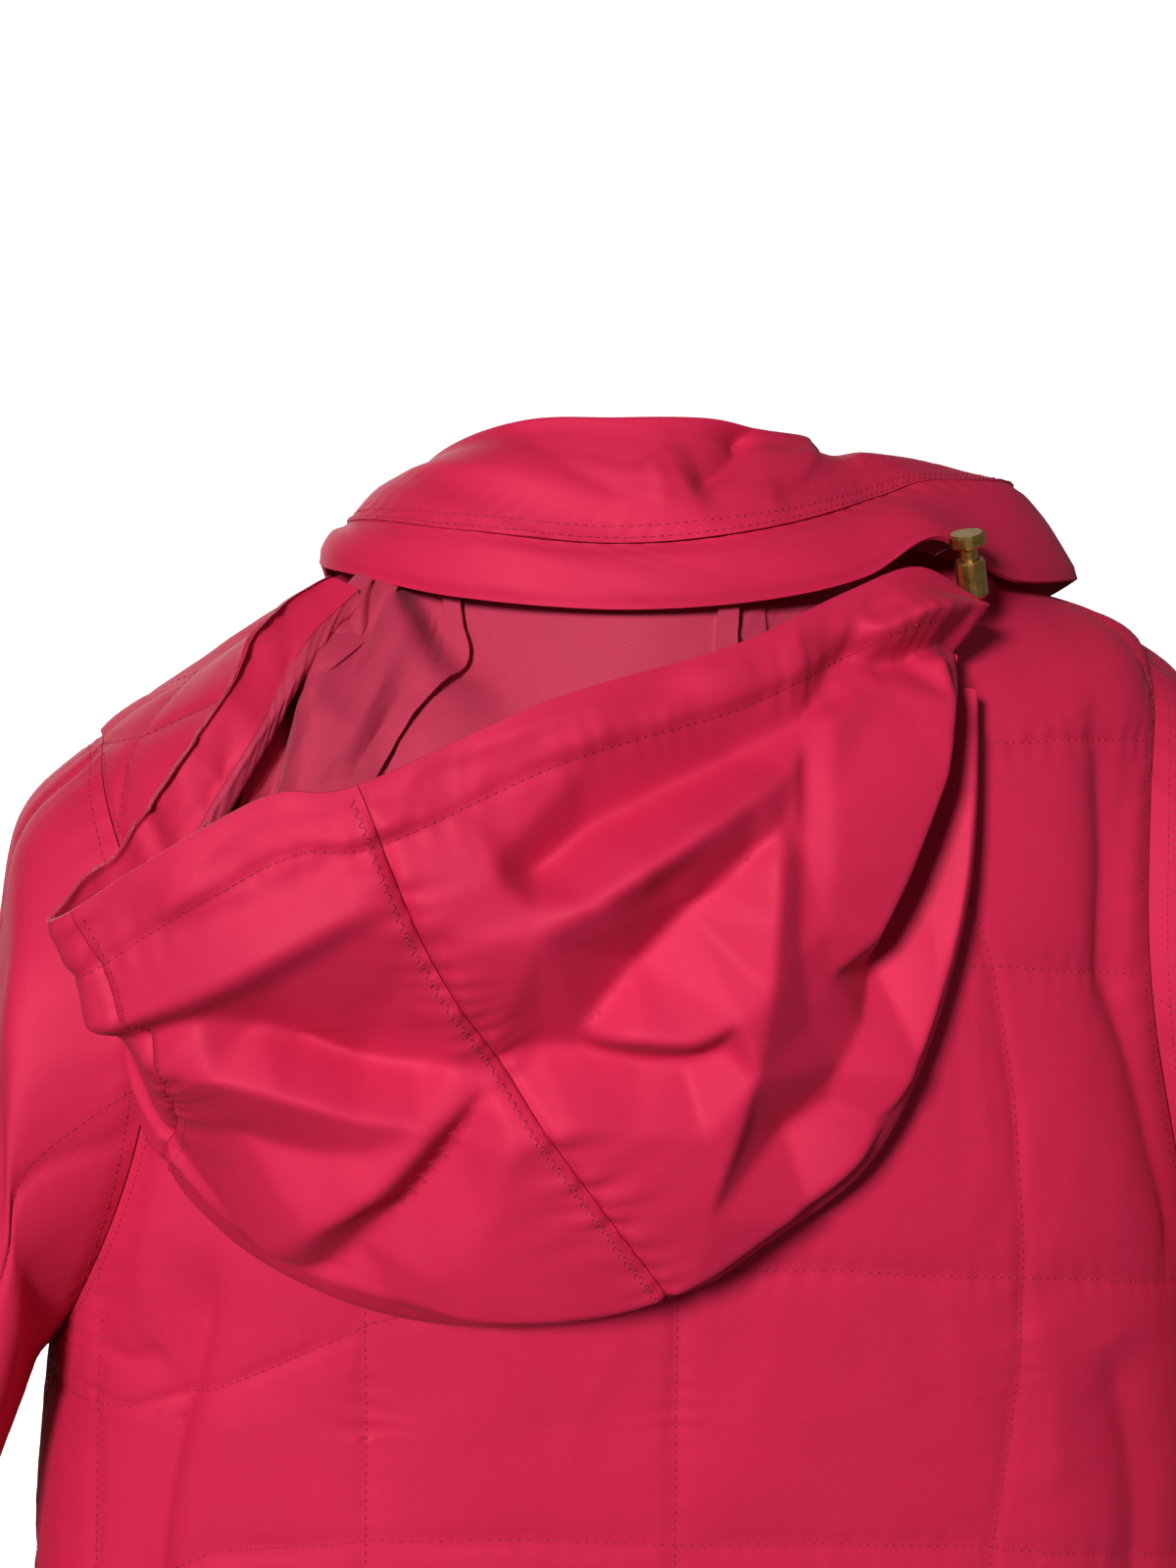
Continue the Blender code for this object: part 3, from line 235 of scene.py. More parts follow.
# The lie of the hood's cloth: lines of creases and crests, each point as x, z and height in mm.
# The cloth lies flat between the lines.
HOOD_RELIEF = (
    ("edge of the casing", ((19.6, -11.6, 0), (18.6, -10.8, 0.5), (15.9, -8.9, 1), (13.1, -7.5, 1),
                            (10.2, -6.1, 0.5), (7.6, -5.2, 0), (3.8, -4.0, -1), (1.3, -3.4, -1),
                            (-1.3, -2.7, -1), (-3.2, -2.2, 0))),
    ("rim", ((20.4, -8.0, 0), (15.3, -5.4, 0), (10.6, -3.8, 0), (6.1, -2.3, 0), (2.4, -1.7, 0),
             (-0.7, -0.9, 0), (-4.8, 0.8, 0), (-7.3, 1.2, 0), (-10.4, 0.2, 0))),
    ("crest at the right end", ((-4.2, -0.1, 2), (-5.2, -0.5, 6), (-5.9, -1.2, 7),
                                (-7.4, -0.9, 7), (-9.3, -1.0, 5))),
    ("wrinkle at the right end", ((-4.0, -1.0, -2), (-5.0, -1.5, -6), (-5.9, -1.9, -7),
                                  (-7.2, -2.0, -6), (-8.9, -1.9, -6))),
    ("crest along the casing", ((7.4, -4.2, 2), (6.4, -3.5, 2.5), (5.0, -3.5, 1), (3.8, -2.7, 2.5),
                                (2.3, -2.8, 0), (0.9, -1.9, 2.5), (-0.6, -2.0, 0),
                                (-2.0, -0.9, 2.5), (-3.2, -1.2, 0))),
    ("crest along the far casing", ((18.9, -8.6, 2.5), (17.4, -8.0, 0), (15.7, -7.4, 2.5),
                                    (14.1, -6.3, 0), (12.8, -6.1, 2.5), (11.3, -4.9, 0),
                                    (10.2, -4.9, 2.5), (8.9, -4.0, 0))),
    ("overhang of the casing", ((18.2, -12.1, 5), (15.5, -10.9, 6), (13.0, -9.4, 6),
                                (10.9, -8.2, 5), (9.4, -7.3, 2))),
    ("tuck under the casing", ((18.0, -12.9, -4), (15.6, -11.6, -3), (13.0, -10.1, -1),
                               (11.0, -8.9, 0), (9.4, -8.1, 1))),
    ("crease of the pocket", ((14.2, -12.2, -10), (12.7, -12.8, -14), (10.7, -13.5, -14),
                              (8.9, -13.7, -12), (7.8, -13.6, -8))),
    ("crest under the pocket", ((16.6, -13.4, 2), (15.0, -13.4, 2), (12.9, -13.9, 1.5),
                                (10.7, -14.6, 1), (9.0, -14.9, 1))),
    ("left hollow", ((17.0, -16.4, -3), (14.4, -15.9, -5), (11.9, -16.2, -4), (10.6, -16.0, -2))),
    ("crest above the slant", ((8.6, -15.2, 2), (10.0, -17.0, 4), (11.9, -18.5, 5),
                               (13.6, -20.3, 3))),
    ("slanting crease", ((6.9, -14.0, -6), (8.0, -16.0, -8), (9.4, -17.9, -8), (10.9, -19.5, -6),
                         (12.2, -21.0, -2))),
    ("crest below the slant", ((5.4, -16.0, 2), (6.9, -18.1, 3), (8.4, -20.2, 3), (9.6, -21.7, 1))),
    ("deep crease", ((6.0, -6.1, -1), (5.4, -7.1, -9), (3.8, -5.9, -10), (1.3, -4.9, -10),
                     (-1.0, -4.1, -8), (-3.3, -3.3, -5), (-6.2, -2.6, -1))),
    ("beside the hook", ((6.7, -6.5, 2), (6.5, -7.4, 2.5), (5.6, -8.0, 2))),
    ("crest below the deep crease", ((9.0, -8.6, 0), (7.7, -8.9, 2), (5.5, -8.9, 4), (3.7, -7.9, 6),
                                     (2.2, -7.1, 7), (0.5, -6.2, 6), (-1.1, -5.4, 4),
                                     (-2.6, -4.7, 1))),
    ("hook in the crest", ((2.3, -8.0, -1), (1.6, -7.7, -4), (0.4, -7.0, -1))),
    ("upper slant", ((3.9, -12.4, -8), (2.0, -10.4, -12), (0.5, -8.8, -12), (-0.4, -8.0, -10),
                     (-1.4, -7.0, -6), (-2.3, -6.3, -2))),
    ("lower edge of the bright face", ((2.7, -12.4, 2), (0.9, -12.5, 5), (-0.6, -11.9, 5))),
    ("long crease", ((6.9, -13.4, -8), (5.1, -13.1, -11), (3.8, -13.1, -11), (2.0, -13.5, -9),
                     (0.7, -13.5, -7), (-0.4, -13.0, -3))),
    ("face below the long crease", ((6.2, -15.4, 2), (4.4, -15.0, 3), (2.4, -15.3, 3.5),
                                    (0.4, -15.5, 5))),
    ("lower face", ((13.0, -21.2, 3), (10.4, -21.9, 5), (7.2, -22.3, 7), (3.6, -22.0, 8),
                    (1.2, -21.2, 8), (-1.2, -20.0, 8), (-3.2, -18.8, 7), (-4.9, -17.4, 5))),
    ("tip ridge", ((-2.0, -7.2, 1), (-1.8, -9.1, 2.5), (-1.6, -11.2, 4), (-1.1, -13.7, 6),
                   (-0.5, -16.0, 7), (0.2, -18.2, 8), (0.7, -20.2, 9))),
    ("beside the tip ridge", ((-3.25, -3.8, -2), (-2.9, -6.9, -2), (-2.8, -10.2, -1),
                              (-3.4, -12.6, -4), (-4.5, -14.4, -5), (-5.5, -16.2, 0))),
    ("hollow beside the tip", ((-1.3, -15.9, 1), (-2.7, -16.4, -6), (-4.2, -15.6, -6))),
    ("leaf", ((-4.2, -3.1, 0), (-3.9, -5.4, 1.5), (-3.7, -7.6, 2), (-3.6, -9.6, 0),
              (-4.0, -11.2, -3))),
    ("crest beside the right valley", ((-8.0, -2.2, 3), (-7.9, -3.6, 6), (-7.3, -5.6, 7),
                                       (-6.0, -8.2, 6), (-5.2, -10.0, 3))),
    ("right valley", ((-9.8, -2.4, -6), (-9.5, -4.4, -14), (-8.7, -6.8, -19), (-7.8, -9.1, -19),
                      (-6.7, -11.4, -15), (-5.6, -13.2, -8))),
    ("right crest", ((-10.4, -3.8, 4), (-9.9, -7.9, 6), (-8.8, -11.7, 6), (-7.0, -14.9, 4))),
    ("outer edge", ((21.0, -9.0, 0), (20.0, -14.0, 0), (18.2, -17.5, 0), (15.8, -20.6, 0),
                    (12.6, -22.6, 0), (7.4, -23.6, 0), (2.4, -23.0, 0), (-1.7, -21.6, 0),
                    (-4.9, -19.4, 0), (-7.2, -16.4, 0), (-9.2, -11.8, 0), (-10.6, -6.0, 0),
                    (-11.5, -1.5, 0))),
)
# The lie of the lining inside the hood's left side, raised from the shell behind it
LINING_RELIEF = (
    ("beside the casing", ((10.0, 0.6, 2), (11.6, -0.6, 2), (13.2, -2.6, 2), (15.0, -5.0, 2),
                           (16.4, -8.0, 2))),
    ("crest of the outer fold", ((9.7, 0.2, 4), (10.9, -1.2, 6), (12.4, -3.6, 7), (13.4, -6.0, 7),
                                 (14.2, -9.0, 6))),
    ("deep crease", ((9.3, -0.2, 0), (10.2, -1.7, 0), (11.6, -3.9, 0), (12.4, -6.2, 0),
                     (13.0, -9.0, 0))),
    ("left crest of the tongue", ((8.9, -0.2, 4), (9.7, -1.8, 9), (11.0, -4.2, 12),
                                  (11.6, -6.6, 12), (12.0, -9.0, 9))),
    ("upper wrinkle", ((9.2, -1.9, 4), (9.6, -3.0, 6), (10.2, -3.9, 8))),
    ("crest of the wrinkle", ((8.7, -2.0, 10), (9.0, -3.2, 11), (9.9, -4.9, 12))),
    ("middle wrinkle", ((8.2, -3.6, 7), (8.9, -4.4, 6), (9.0, -5.4, 5), (8.6, -6.8, 5))),
    ("crest below", ((7.4, -4.3, 9), (8.0, -5.2, 11), (8.0, -6.6, 11))),
    ("right crest of the tongue", ((8.5, -0.2, 4), (8.3, -0.9, 9), (8.1, -2.3, 12),
                                   (7.4, -3.4, 12), (6.4, -4.2, 8))),
    ("cavity", ((8.1, 0.2, 0), (7.6, -0.8, 0), (7.3, -1.8, 0), (6.9, -2.7, 0), (6.3, -3.4, 1))),
    ("beside the tape", ((6.6, 0.3, 1), (6.5, -1.0, 2), (6.4, -2.2, 2), (5.9, -3.3, 2),
                         (4.6, -4.6, 2))),
    ("middle", ((4.6, 0.4, 1.5), (4.4, -2.0, 1.5), (3.6, -4.4, 1.5), (2.0, -7.0, 1.5))),
    ("right", ((-3.0, 0.4, 1.5), (-3.0, -4.0, 1.5), (-3.0, -9.0, 1.5))),
    ("far below", ((18.0, -12.0, 1.5), (12.0, -14.0, 1.5), (7.0, -12.0, 1.5), (0.0, -12.0, 1.5))),
)
# Folds: height of the crease (below 0 a trough), how far it fades to its left and to its right
# as it runs, how round its bottom is, and the points it runs through, as x and z
BACK_FOLDS = (
    ("left_edge", -0.75, 1.8, 0.45, 0.10,
     ((15.0, -21.0), (15.4, -24.0), (16.3, -27.6), (17.1, -31.6), (17.6, -36.5))),
    ("left_satin_1", 0.34, 0.7, 0.9, 0.25,
     ((16.6, -13.0), (16.4, -17.0), (16.8, -21.0), (17.4, -25.0))),
    ("left_satin_2", -0.30, 0.7, 0.6, 0.15,
     ((18.4, -12.0), (17.9, -17.0), (18.2, -21.0), (18.8, -26.0))),
    ("left_crease", -0.25, 0.5, 0.5, 0.10,
     ((18.9, -25.6), (17.8, -25.9), (16.8, -25.2))),
    ("right_fold", -0.55, 0.5, 1.4, 0.22,
     ((-14.8, -4.0), (-14.9, -9.0), (-14.8, -13.4), (-16.0, -16.7), (-17.0, -20.0),
      (-18.0, -23.0), (-17.8, -26.5))),
    ("right_side", -0.45, 0.8, 1.3, 0.30,
     ((-15.0, -26.5), (-16.3, -30.0), (-17.0, -34.0), (-17.0, -38.0))),
    ("right_soft", 0.20, 1.2, 1.2, 0.4,
     ((-12.2, -24.4), (-13.0, -28.0), (-13.3, -32.0))),
)
COLLAR_FOLDS = (
    ("notch", -0.75, 0.8, 0.45, 0.10, ((-3.7, 6.4), (-3.5, 5.2), (-2.9, 4.2), (-1.8, 3.4),
                                       (-0.6, 2.8))),
    ("right_hump", 0.30, 0.7, 0.9, 0.3, ((-4.9, 5.6), (-5.3, 4.4), (-5.9, 3.4))),
    ("left_pull", -0.14, 0.5, 0.5, 0.10, ((4.6, 4.6), (3.0, 3.6), (1.2, 2.6))),
    ("middle_pull", 0.14, 0.4, 0.8, 0.12, ((0.6, 3.9), (0.2, 3.0), (0.4, 2.3))),
    ("right_pull", -0.16, 0.5, 0.6, 0.12, ((-7.2, 3.6), (-5.4, 2.8), (-3.4, 2.4))),
)


# ---------------------------------------------------------------- settings

def colour_setting(name, description, *default):
    """A colour in the sidebar."""
    return bpy.props.FloatVectorProperty(
        name=name, description=description, subtype="COLOR", size=4, min=0.0, max=1.0,
        default=(*default, 1.0))


def length_setting(name, description, default, low, high, precision=4):
    """A length in the sidebar."""
    return bpy.props.FloatProperty(
        name=name, description=description, default=default, min=low, max=high, unit="LENGTH",
        precision=precision)


class JacketColours(bpy.types.PropertyGroup):
    """Colours of the cloths, the thread and the metal."""
    shell: colour_setting("Shell", "Colour of the satin outer cloth", 0.575, 0.016, 0.064)
    lining: colour_setting("Lining", "Colour of the hood's lining", 0.47, 0.034, 0.080)
    inside: colour_setting("Inside", "Colour of the cloth inside the body and sleeves",
                           0.40, 0.035, 0.070)
    # The thread's own red, darkened well below the cloth's to paint the shade that lies along the
    # stitched lines.
    thread: colour_setting("Thread", "Colour of the stitches", 0.30, 0.007, 0.029)
    metal: colour_setting("Metal", "Colour of the zip and the toggle", 0.66, 0.42, 0.12)


class JacketCloth(bpy.types.PropertyGroup):
    """How the padding and the seams lift and gather the cloth."""
    loft: length_setting(
        "Loft", "Height of the padding between the quilting lines", 0.0013, 0.0, 0.01)
    loft_reach: length_setting(
        "Loft Reach", "Distance from a line over which the padding rises", 0.010, 0.002, 0.05)
    pucker: length_setting(
        "Pucker", "Height of the gathers along a stitched line", 0.0005, 0.0, 0.003)
    pucker_pitch: length_setting(
        "Pucker Pitch", "Distance between gathers along a stitched line", 0.0085, 0.003, 0.03)


class JacketSewing(bpy.types.PropertyGroup):
    """Sizes of the stitches and of the zip's teeth."""
    stitch: length_setting("Stitch", "Length of one stitch", 0.0024, 0.001, 0.006)
    stitch_pitch: length_setting(
        "Stitch Pitch", "Distance from one stitch to the next", 0.0032, 0.0015, 0.01)
    thread_width: length_setting(
        "Thread Width", "Thickness of the thread", 0.00045, 0.0002, 0.001, precision=5)
    tooth_pitch: length_setting(
        "Tooth Pitch", "Distance between teeth on one side of the zip", 0.0026, 0.0015, 0.006)


# ---------------------------------------------------------------- numbers

def unit(vectors):
    """Vectors of length 1 along the last axis."""
    return vectors / np.maximum(np.linalg.norm(vectors, axis=-1, keepdims=True), 1e-12)


def smooth(value):
    """0 below 0, 1 above 1, and a soft slope between."""
    t = np.clip(value, 0.0, 1.0)
    return t * t * (3 - 2 * t)


def spline(rows, positions):
    """Rows of a table at fractional row numbers, on a smooth curve through them."""
    rows = np.asarray(rows, dtype=float)
    positions = np.asarray(positions, dtype=float)
    base = np.clip(positions.astype(int), 0, len(rows) - 2)
    f = (positions - base).reshape(positions.shape + (1,) * (rows.ndim - 1))
    known = np.concatenate(((2 * rows[0] - rows[1])[None], rows, (2 * rows[-1] - rows[-2])[None]))
    p0, p1, p2, p3 = (known[base + k] for k in range(4))
    straight = 2 * p1 + (p2 - p0) * f
    bent = (2 * p0 - 5 * p1 + 4 * p2 - p3) * f * f + (3 * p1 - p0 - 3 * p2 + p3) * f ** 3
    return 0.5 * (straight + bent)


def picked(rows, columns, *names):
    """The named columns of rows of a table, one after another."""
    return rows[:, [columns.index(name) for name in names]].T


def lumps(u, v, seed):
    """Smooth noise from -1 to 1 with about one lump for each unit of u and of v."""
    table = np.random.default_rng(seed).uniform(-1, 1, (64, 64))
    iu, iv = np.floor(u).astype(int), np.floor(v).astype(int)
    fu, fv = smooth(u - iu), smooth(v - iv)
    corner = table[iu % 64, iv % 64]
    right = table[(iu + 1) % 64, iv % 64]
    top = table[iu % 64, (iv + 1) % 64]
    far = table[(iu + 1) % 64, (iv + 1) % 64]
    return (corner * (1 - fu) + right * fu) * (1 - fv) + (top * (1 - fu) + far * fu) * fv


def crinkles(u, v, seed):
    """Sharp-topped wrinkles from about -0.5 to 0.5, running across u more than across v."""
    bend_u = u + 0.6 * lumps(u * 0.7, v * 0.7, seed + 1)
    bend_v = v + 0.6 * lumps(u * 0.7, v * 0.7, seed + 2)
    first = 1 - 2 * np.abs(lumps(bend_u, bend_v * 0.55, seed + 3))
    second = 1 - 2 * np.abs(lumps(bend_u * 2.1, bend_v * 1.3, seed + 4))
    return 0.5 * (first * 0.7 + second * 0.3)


def gathers(along, off, pitch, reach, seed):
    """Short puckers, about -1 to 1, that run off a stitched line and fade with distance."""
    wander = pitch * 0.9 * lumps(along / (pitch * 2.7), along * 0 + 0.5, seed)
    lean = off * 0.45 * lumps(along / (pitch * 1.9), along * 0 + 3.5, seed + 1)
    wave = np.sin(2 * np.pi * (along + wander + lean) / pitch)
    strength = 0.65 + 0.5 * lumps(along / (pitch * 1.6), along * 0 + 7.5, seed + 2)
    reach = reach * (1 + 0.6 * lumps(along / (pitch * 1.3), along * 0 + 9.5, seed + 3))
    away = np.abs(off)
    held = 1 - 0.7 * np.exp(-away / HELD_AT_STITCHES)
    return wave * strength * np.exp(-away / reach) * held


def crease(x, z, fold):
    """Height of one fold at places x, z, in metres."""
    _, height, left, right, roundness, through = fold
    through = np.array(through) * CM
    count = (len(through) - 1) * 7 + 1
    line = spline(through, np.linspace(0, len(through) - 1, count))
    steps = np.diff(line, axis=0)
    lengths = np.linalg.norm(steps, axis=1)
    starts = np.concatenate(((0.0,), np.cumsum(lengths)))
    best = np.full(x.shape, 1e9)
    side = np.zeros(x.shape)
    place = np.zeros(x.shape)
    for k, (step, length) in enumerate(zip(steps, lengths)):
        dx, dz = x - line[k, 0], z - line[k, 1]
        t = np.clip((dx * step[0] + dz * step[1]) / length ** 2, 0, 1)
        off = np.hypot(dx - t * step[0], dz - t * step[1])
        nearer = off < best
        best = np.where(nearer, off, best)
        side = np.where(nearer, np.sign(step[0] * dz - step[1] * dx), side)
        place = np.where(nearer, starts[k] + t * length, place)
    share = place / starts[-1]
    ends = smooth(share / 0.22 + 0.12) * smooth((1 - share) / 0.22 + 0.12)
    rounded = np.sqrt(best ** 2 + (roundness * CM) ** 2) - roundness * CM
    reach = np.where(side > 0, left, right) * CM
    return height * CM * ends * np.exp(-rounded / reach)


def flat_faces(x, z, lines):
    """Heights at places x, z of a relief whose faces are flat between its lines."""
    known, places, edges = [], [], []
    for _, line in lines:
        start = len(places)
        places += [Vector((a, b)) for a, b, _ in line]
        known += [height for _, _, height in line]
        edges += [(start + k, start + k + 1) for k in range(len(line) - 1)]
    corners, _, faces, sources, _, _ = delaunay_2d_cdt(places, edges, [], 0, 1e-4)
    flat = np.array([corner[:] for corner in corners]) * CM
    heights = np.array([known[source[0]] if source else 0.0 for source in sources]) * MM
    result = np.zeros(x.shape)
    for a, b, c in faces:
        (ax, az), (bx, bz), (cx, cz) = flat[a], flat[b], flat[c]
        area = (bx - ax) * (cz - az) - (cx - ax) * (bz - az)
        if abs(area) < 1e-12:
            continue
        u = ((bx - x) * (cz - z) - (cx - x) * (bz - z)) / area
        v = ((cx - x) * (az - z) - (ax - x) * (cz - z)) / area
        w = 1 - u - v
        inside = (u >= 0) & (v >= 0) & (w >= 0)
        result[inside] = (u * heights[a] + v * heights[b] + w * heights[c])[inside]
    return result


def soften(values, times):
    """A grid of values with each one averaged with its neighbours, some times over."""
    for _ in range(times):
        for axis in (0, 1):
            wide = np.concatenate((values.take([0], axis), values, values.take([-1], axis)), axis)
            count = values.shape[axis]
            values = (wide.take(range(count), axis) + 2 * values
                      + wide.take(range(2, count + 2), axis)) / 4
    return values


def creases(x, z, folds):
    """Height of a table of folds at places x, z."""
    total = np.zeros(x.shape)
    for fold in folds:
        total += crease(x, z, fold)
    return total


def run_lengths(points, axis):
    """Distance along a grid's rows or columns from its first point."""
    steps = np.linalg.norm(np.diff(points, axis=axis), axis=2)
    start = np.zeros_like(steps[:1] if axis == 0 else steps[:, :1])
    return np.cumsum(np.concatenate((start, steps), axis=axis), axis=axis)


# ---------------------------------------------------------------- cloth grids

class ClothGrid:
    """Points on the outside of one piece of cloth, with the directions out of it."""

    def __init__(self, points, centre=None, wrap=False):
        self.points = points
        self.wrap = wrap
        self.flip = False
        self.normals = self.outward()
        if centre is not None and np.mean(np.sum(self.normals * (points - centre), axis=2)) < 0:
            self.flip = True
            self.normals = -self.normals
        self.across = run_lengths(points, 1)
        self.up = run_lengths(points, 0)
        self.base = points.copy()
        self.base_normals = self.normals.copy()

    def outward(self):
        """Directions out of the present points."""
        along = np.gradient(self.points, axis=0)
        if self.wrap:
            across = (np.roll(self.points, -1, axis=1) - np.roll(self.points, 1, axis=1)) / 2
        else:
            across = np.gradient(self.points, axis=1)
        normals = unit(np.cross(across, along))
        return -normals if self.flip else normals

    def turn_over(self):
        """Point all directions to the other side."""
        self.flip = not self.flip
        self.normals, self.base_normals = -self.normals, -self.base_normals

    def lift(self, height):
        """Move the points out by a height for each of them."""
        self.points = self.points + self.base_normals * height[..., None]
        self.normals = self.outward()

    def part(self, rows=slice(None), columns=slice(None)):
        """A smaller grid that keeps its place and its directions."""
        piece = object.__new__(ClothGrid)
        piece.wrap, piece.flip = self.wrap, self.flip
        for name in ("points", "normals", "across", "up", "base", "base_normals"):
            setattr(piece, name, getattr(self, name)[rows, columns].copy())
        return piece

    def draw_back(self, edge, distance):
        """Pull one edge back from its seam. The edge is left, right, bottom or top."""
        points = self.points
        if edge in ("left", "right"):
            here, there = (0, 1) if edge == "left" else (-1, -2)
            points[:, here] += unit(points[:, there] - points[:, here]) * distance
        else:
            here, there = (0, 1) if edge == "bottom" else (-1, -2)
            points[here] += unit(points[there] - points[here]) * distance

    def sample(self, rows, columns):
        """Points and outward directions at fractional rows and columns."""
        last_row, last_column = self.points.shape[0] - 1, self.points.shape[1] - 1
        rows = np.clip(rows, 0, last_row - 1e-6)
        columns = np.clip(columns, 0, last_column - 1e-6)
        i, j = rows.astype(int), columns.astype(int)
        fi, fj = (rows - i)[:, None], (columns - j)[:, None]
        found = []
        for values in (self.points, self.normals):
            low = values[i, j] * (1 - fj) + values[i, j + 1] * fj
            high = values[i + 1, j] * (1 - fj) + values[i + 1, j + 1] * fj
            found.append(low * (1 - fi) + high * fi)
        return found[0], unit(found[1])


CLOTH = {}
SEWING_LINES = {"quilting": [], "topstitching": [], "zigzag": []}


def index_steps(count, step):
    """Indices from 0 to the last that are about a step apart."""
    stops = max(2, (count - 1) // step + 1)
    return np.unique(np.round(np.linspace(0, count - 1, stops))).astype(int)


def quads(index, wrap, reverse):
    """Faces between the neighbouring rows and columns of a grid of vertex numbers."""
    if wrap:
        index = np.concatenate((index, index[:, :1]), axis=1)
    corners = [index[:-1, :-1], index[:-1, 1:], index[1:, 1:], index[1:, :-1]]
    if reverse:
        corners.reverse()
    return np.stack(corners, axis=2).reshape(-1, 4)


def rim(outer_line, inner_line, stops, reverse):
    """Faces along one edge of a wall, from its fine outside to its coarser inside."""
    faces = []
    for k in range(len(stops) - 1):
        ring = [*outer_line[stops[k]:stops[k + 1] + 1], inner_line[k + 1], inner_line[k]]
        faces.append([int(v) for v in (ring[::-1] if reverse else ring)])
    return faces


def all_rims(outer, inner, rows, columns, wrap, flip):
    """Faces along all open edges of a wall. rows and columns are where its inside has points."""
    if wrap:
        stops = np.append(columns, outer.shape[1])
        return [face for end, reverse in ((0, not flip), (-1, flip))
                for face in rim(np.append(outer[end], outer[end, 0]),
                                np.append(inner[end], inner[end, 0]), stops, reverse)]
    return (rim(outer[0], inner[0], columns, not flip) + rim(outer[-1], inner[-1], columns, flip)
            + rim(outer[:, 0], inner[:, 0], rows, flip)
            + rim(outer[:, -1], inner[:, -1], rows, not flip))


def close_unwrap(flat, quad_count, full):
    """Carry the unwrap of a tube's closing faces past its full width instead of back to 0."""
    turns = flat[:quad_count * 4].reshape(-1, 4, 2)
    wide = turns[:, :, 0].max(axis=1) - turns[:, :, 0].min(axis=1) > full / 3
    behind = wide[:, None] & (turns[:, :, 0] < full / 3)
    turns[:, :, 0] += np.where(behind, full, 0.0)


def cloth_piece(name, grid, thickness, materials, inner_step=INNER_STEP):
    """A closed wall of cloth: the fine outside and a coarser inside joined at the edges."""
    rows, columns = grid.points.shape[:2]
    wrap, flip = grid.wrap, grid.flip
    inner_rows = index_steps(rows, inner_step)
    inner_columns = np.arange(0, columns, inner_step) if wrap else index_steps(columns, inner_step)
    chosen = np.ix_(inner_rows, inner_columns)
    inner = (grid.points - grid.base_normals * thickness)[chosen]
    outer_index = np.arange(rows * columns).reshape(rows, columns)
    inner_index = rows * columns + np.arange(inner[..., 0].size).reshape(inner.shape[:2])
    uv = np.stack((grid.across, grid.up), axis=2)
    fine = quads(outer_index, wrap, flip)
    faces = np.concatenate((fine, quads(inner_index, wrap, not flip)))
    rims = all_rims(outer_index, inner_index, inner_rows, inner_columns, wrap, flip)

    vertices = np.concatenate((grid.points.reshape(-1, 3), inner.reshape(-1, 3)))
    mesh = bpy.data.meshes.new(name)
    mesh.from_pydata(vertices.tolist(), [], faces.tolist() + rims)
    layer = mesh.uv_layers.new(name=UNWRAP)
    corner_vertices = np.zeros(len(mesh.loops), dtype=np.int32)
    mesh.loops.foreach_get("vertex_index", corner_vertices)
    flat = np.concatenate((uv.reshape(-1, 2), uv[chosen].reshape(-1, 2)))[corner_vertices]
    if wrap:
        close_unwrap(flat, len(faces), grid.across[:, -1].max() * (columns / (columns - 1)))
    layer.data.foreach_set("uv", flat.astype(np.float32).ravel())
    for material in materials:
        mesh.materials.append(material)
    if len(materials) > 1:
        index = np.zeros(len(mesh.polygons), dtype=np.int32)
        index[len(fine):len(faces)] = 1
        mesh.polygons.foreach_set("material_index", index)
    mesh.validate()
    mesh.shade_smooth()
    mesh.set_sharp_from_angle(angle=math.radians(60))
    return link(name, mesh)


def link(name, mesh):
    """A new object in the scene for a mesh."""
    item = bpy.data.objects.new(name, mesh)
    bpy.context.scene.collection.objects.link(item)
    return item


def cut_of(grid):
    """Greatest width and length of a piece before its folds, and the area between its edges."""
    base = grid.base
    width = run_lengths(base, 1)[:, -1].max()
    length = run_lengths(base, 0)[-1].max()
    right, up = np.diff(base, axis=1)[:-1], np.diff(base, axis=0)[:, :-1]
    area = float(np.linalg.norm(np.cross(right, up), axis=2).sum())
    flat = (max(KIT_LEAST_WIDTH, float(width)), float(length))
    return flat, min(area, float(width * length))


def show(item, grid, nodes, held=None, fill=None):
    """Put a piece on the jacket in place of its solids, and, when it is held, work out its cut and
    area.
    """
    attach(item, "jacket")
    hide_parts(*nodes)
    if fill is not None:
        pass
    elif held is not None:
        flat, area = cut_of(grid)
        area = max(area, KIT_LEAST_AREA * flat[0] * flat[1])


# ---------------------------------------------------------------- body

def settle(points):
    """The right shoulder sits higher than the left one."""
    side = np.clip(-points[..., 0] / RIGHT_LIFT_OUT, 0, 1) ** 1.5
    upper = smooth((points[..., 2] - RIGHT_LIFT_FOOT) / RIGHT_LIFT_RISE)
    lifted = points.copy()
    lifted[..., 2] += RIGHT_LIFT * side * upper
    return lifted


def torso_points(angles, rows):
    """Points of the body's outer face. Angle 0 is the centre back, positive to the left."""
    side_z, width, back_y, back_z, front_y, front_z, power = np.moveaxis(
        spline(TORSO, rows), -1, 0)
    s, c = np.sin(angles), np.cos(angles)
    behind = c >= 0
    depth, middle_z = np.where(behind, back_y, front_y), np.where(behind, back_z, front_z)
    x = width * np.sign(s) * np.abs(s) ** (2 / power)
    y = depth * np.sign(c) * np.abs(c) ** (2 / power)
    z = side_z + (middle_z - side_z) * c * c
    return settle(np.stack((x, y, z), axis=-1) * CM)


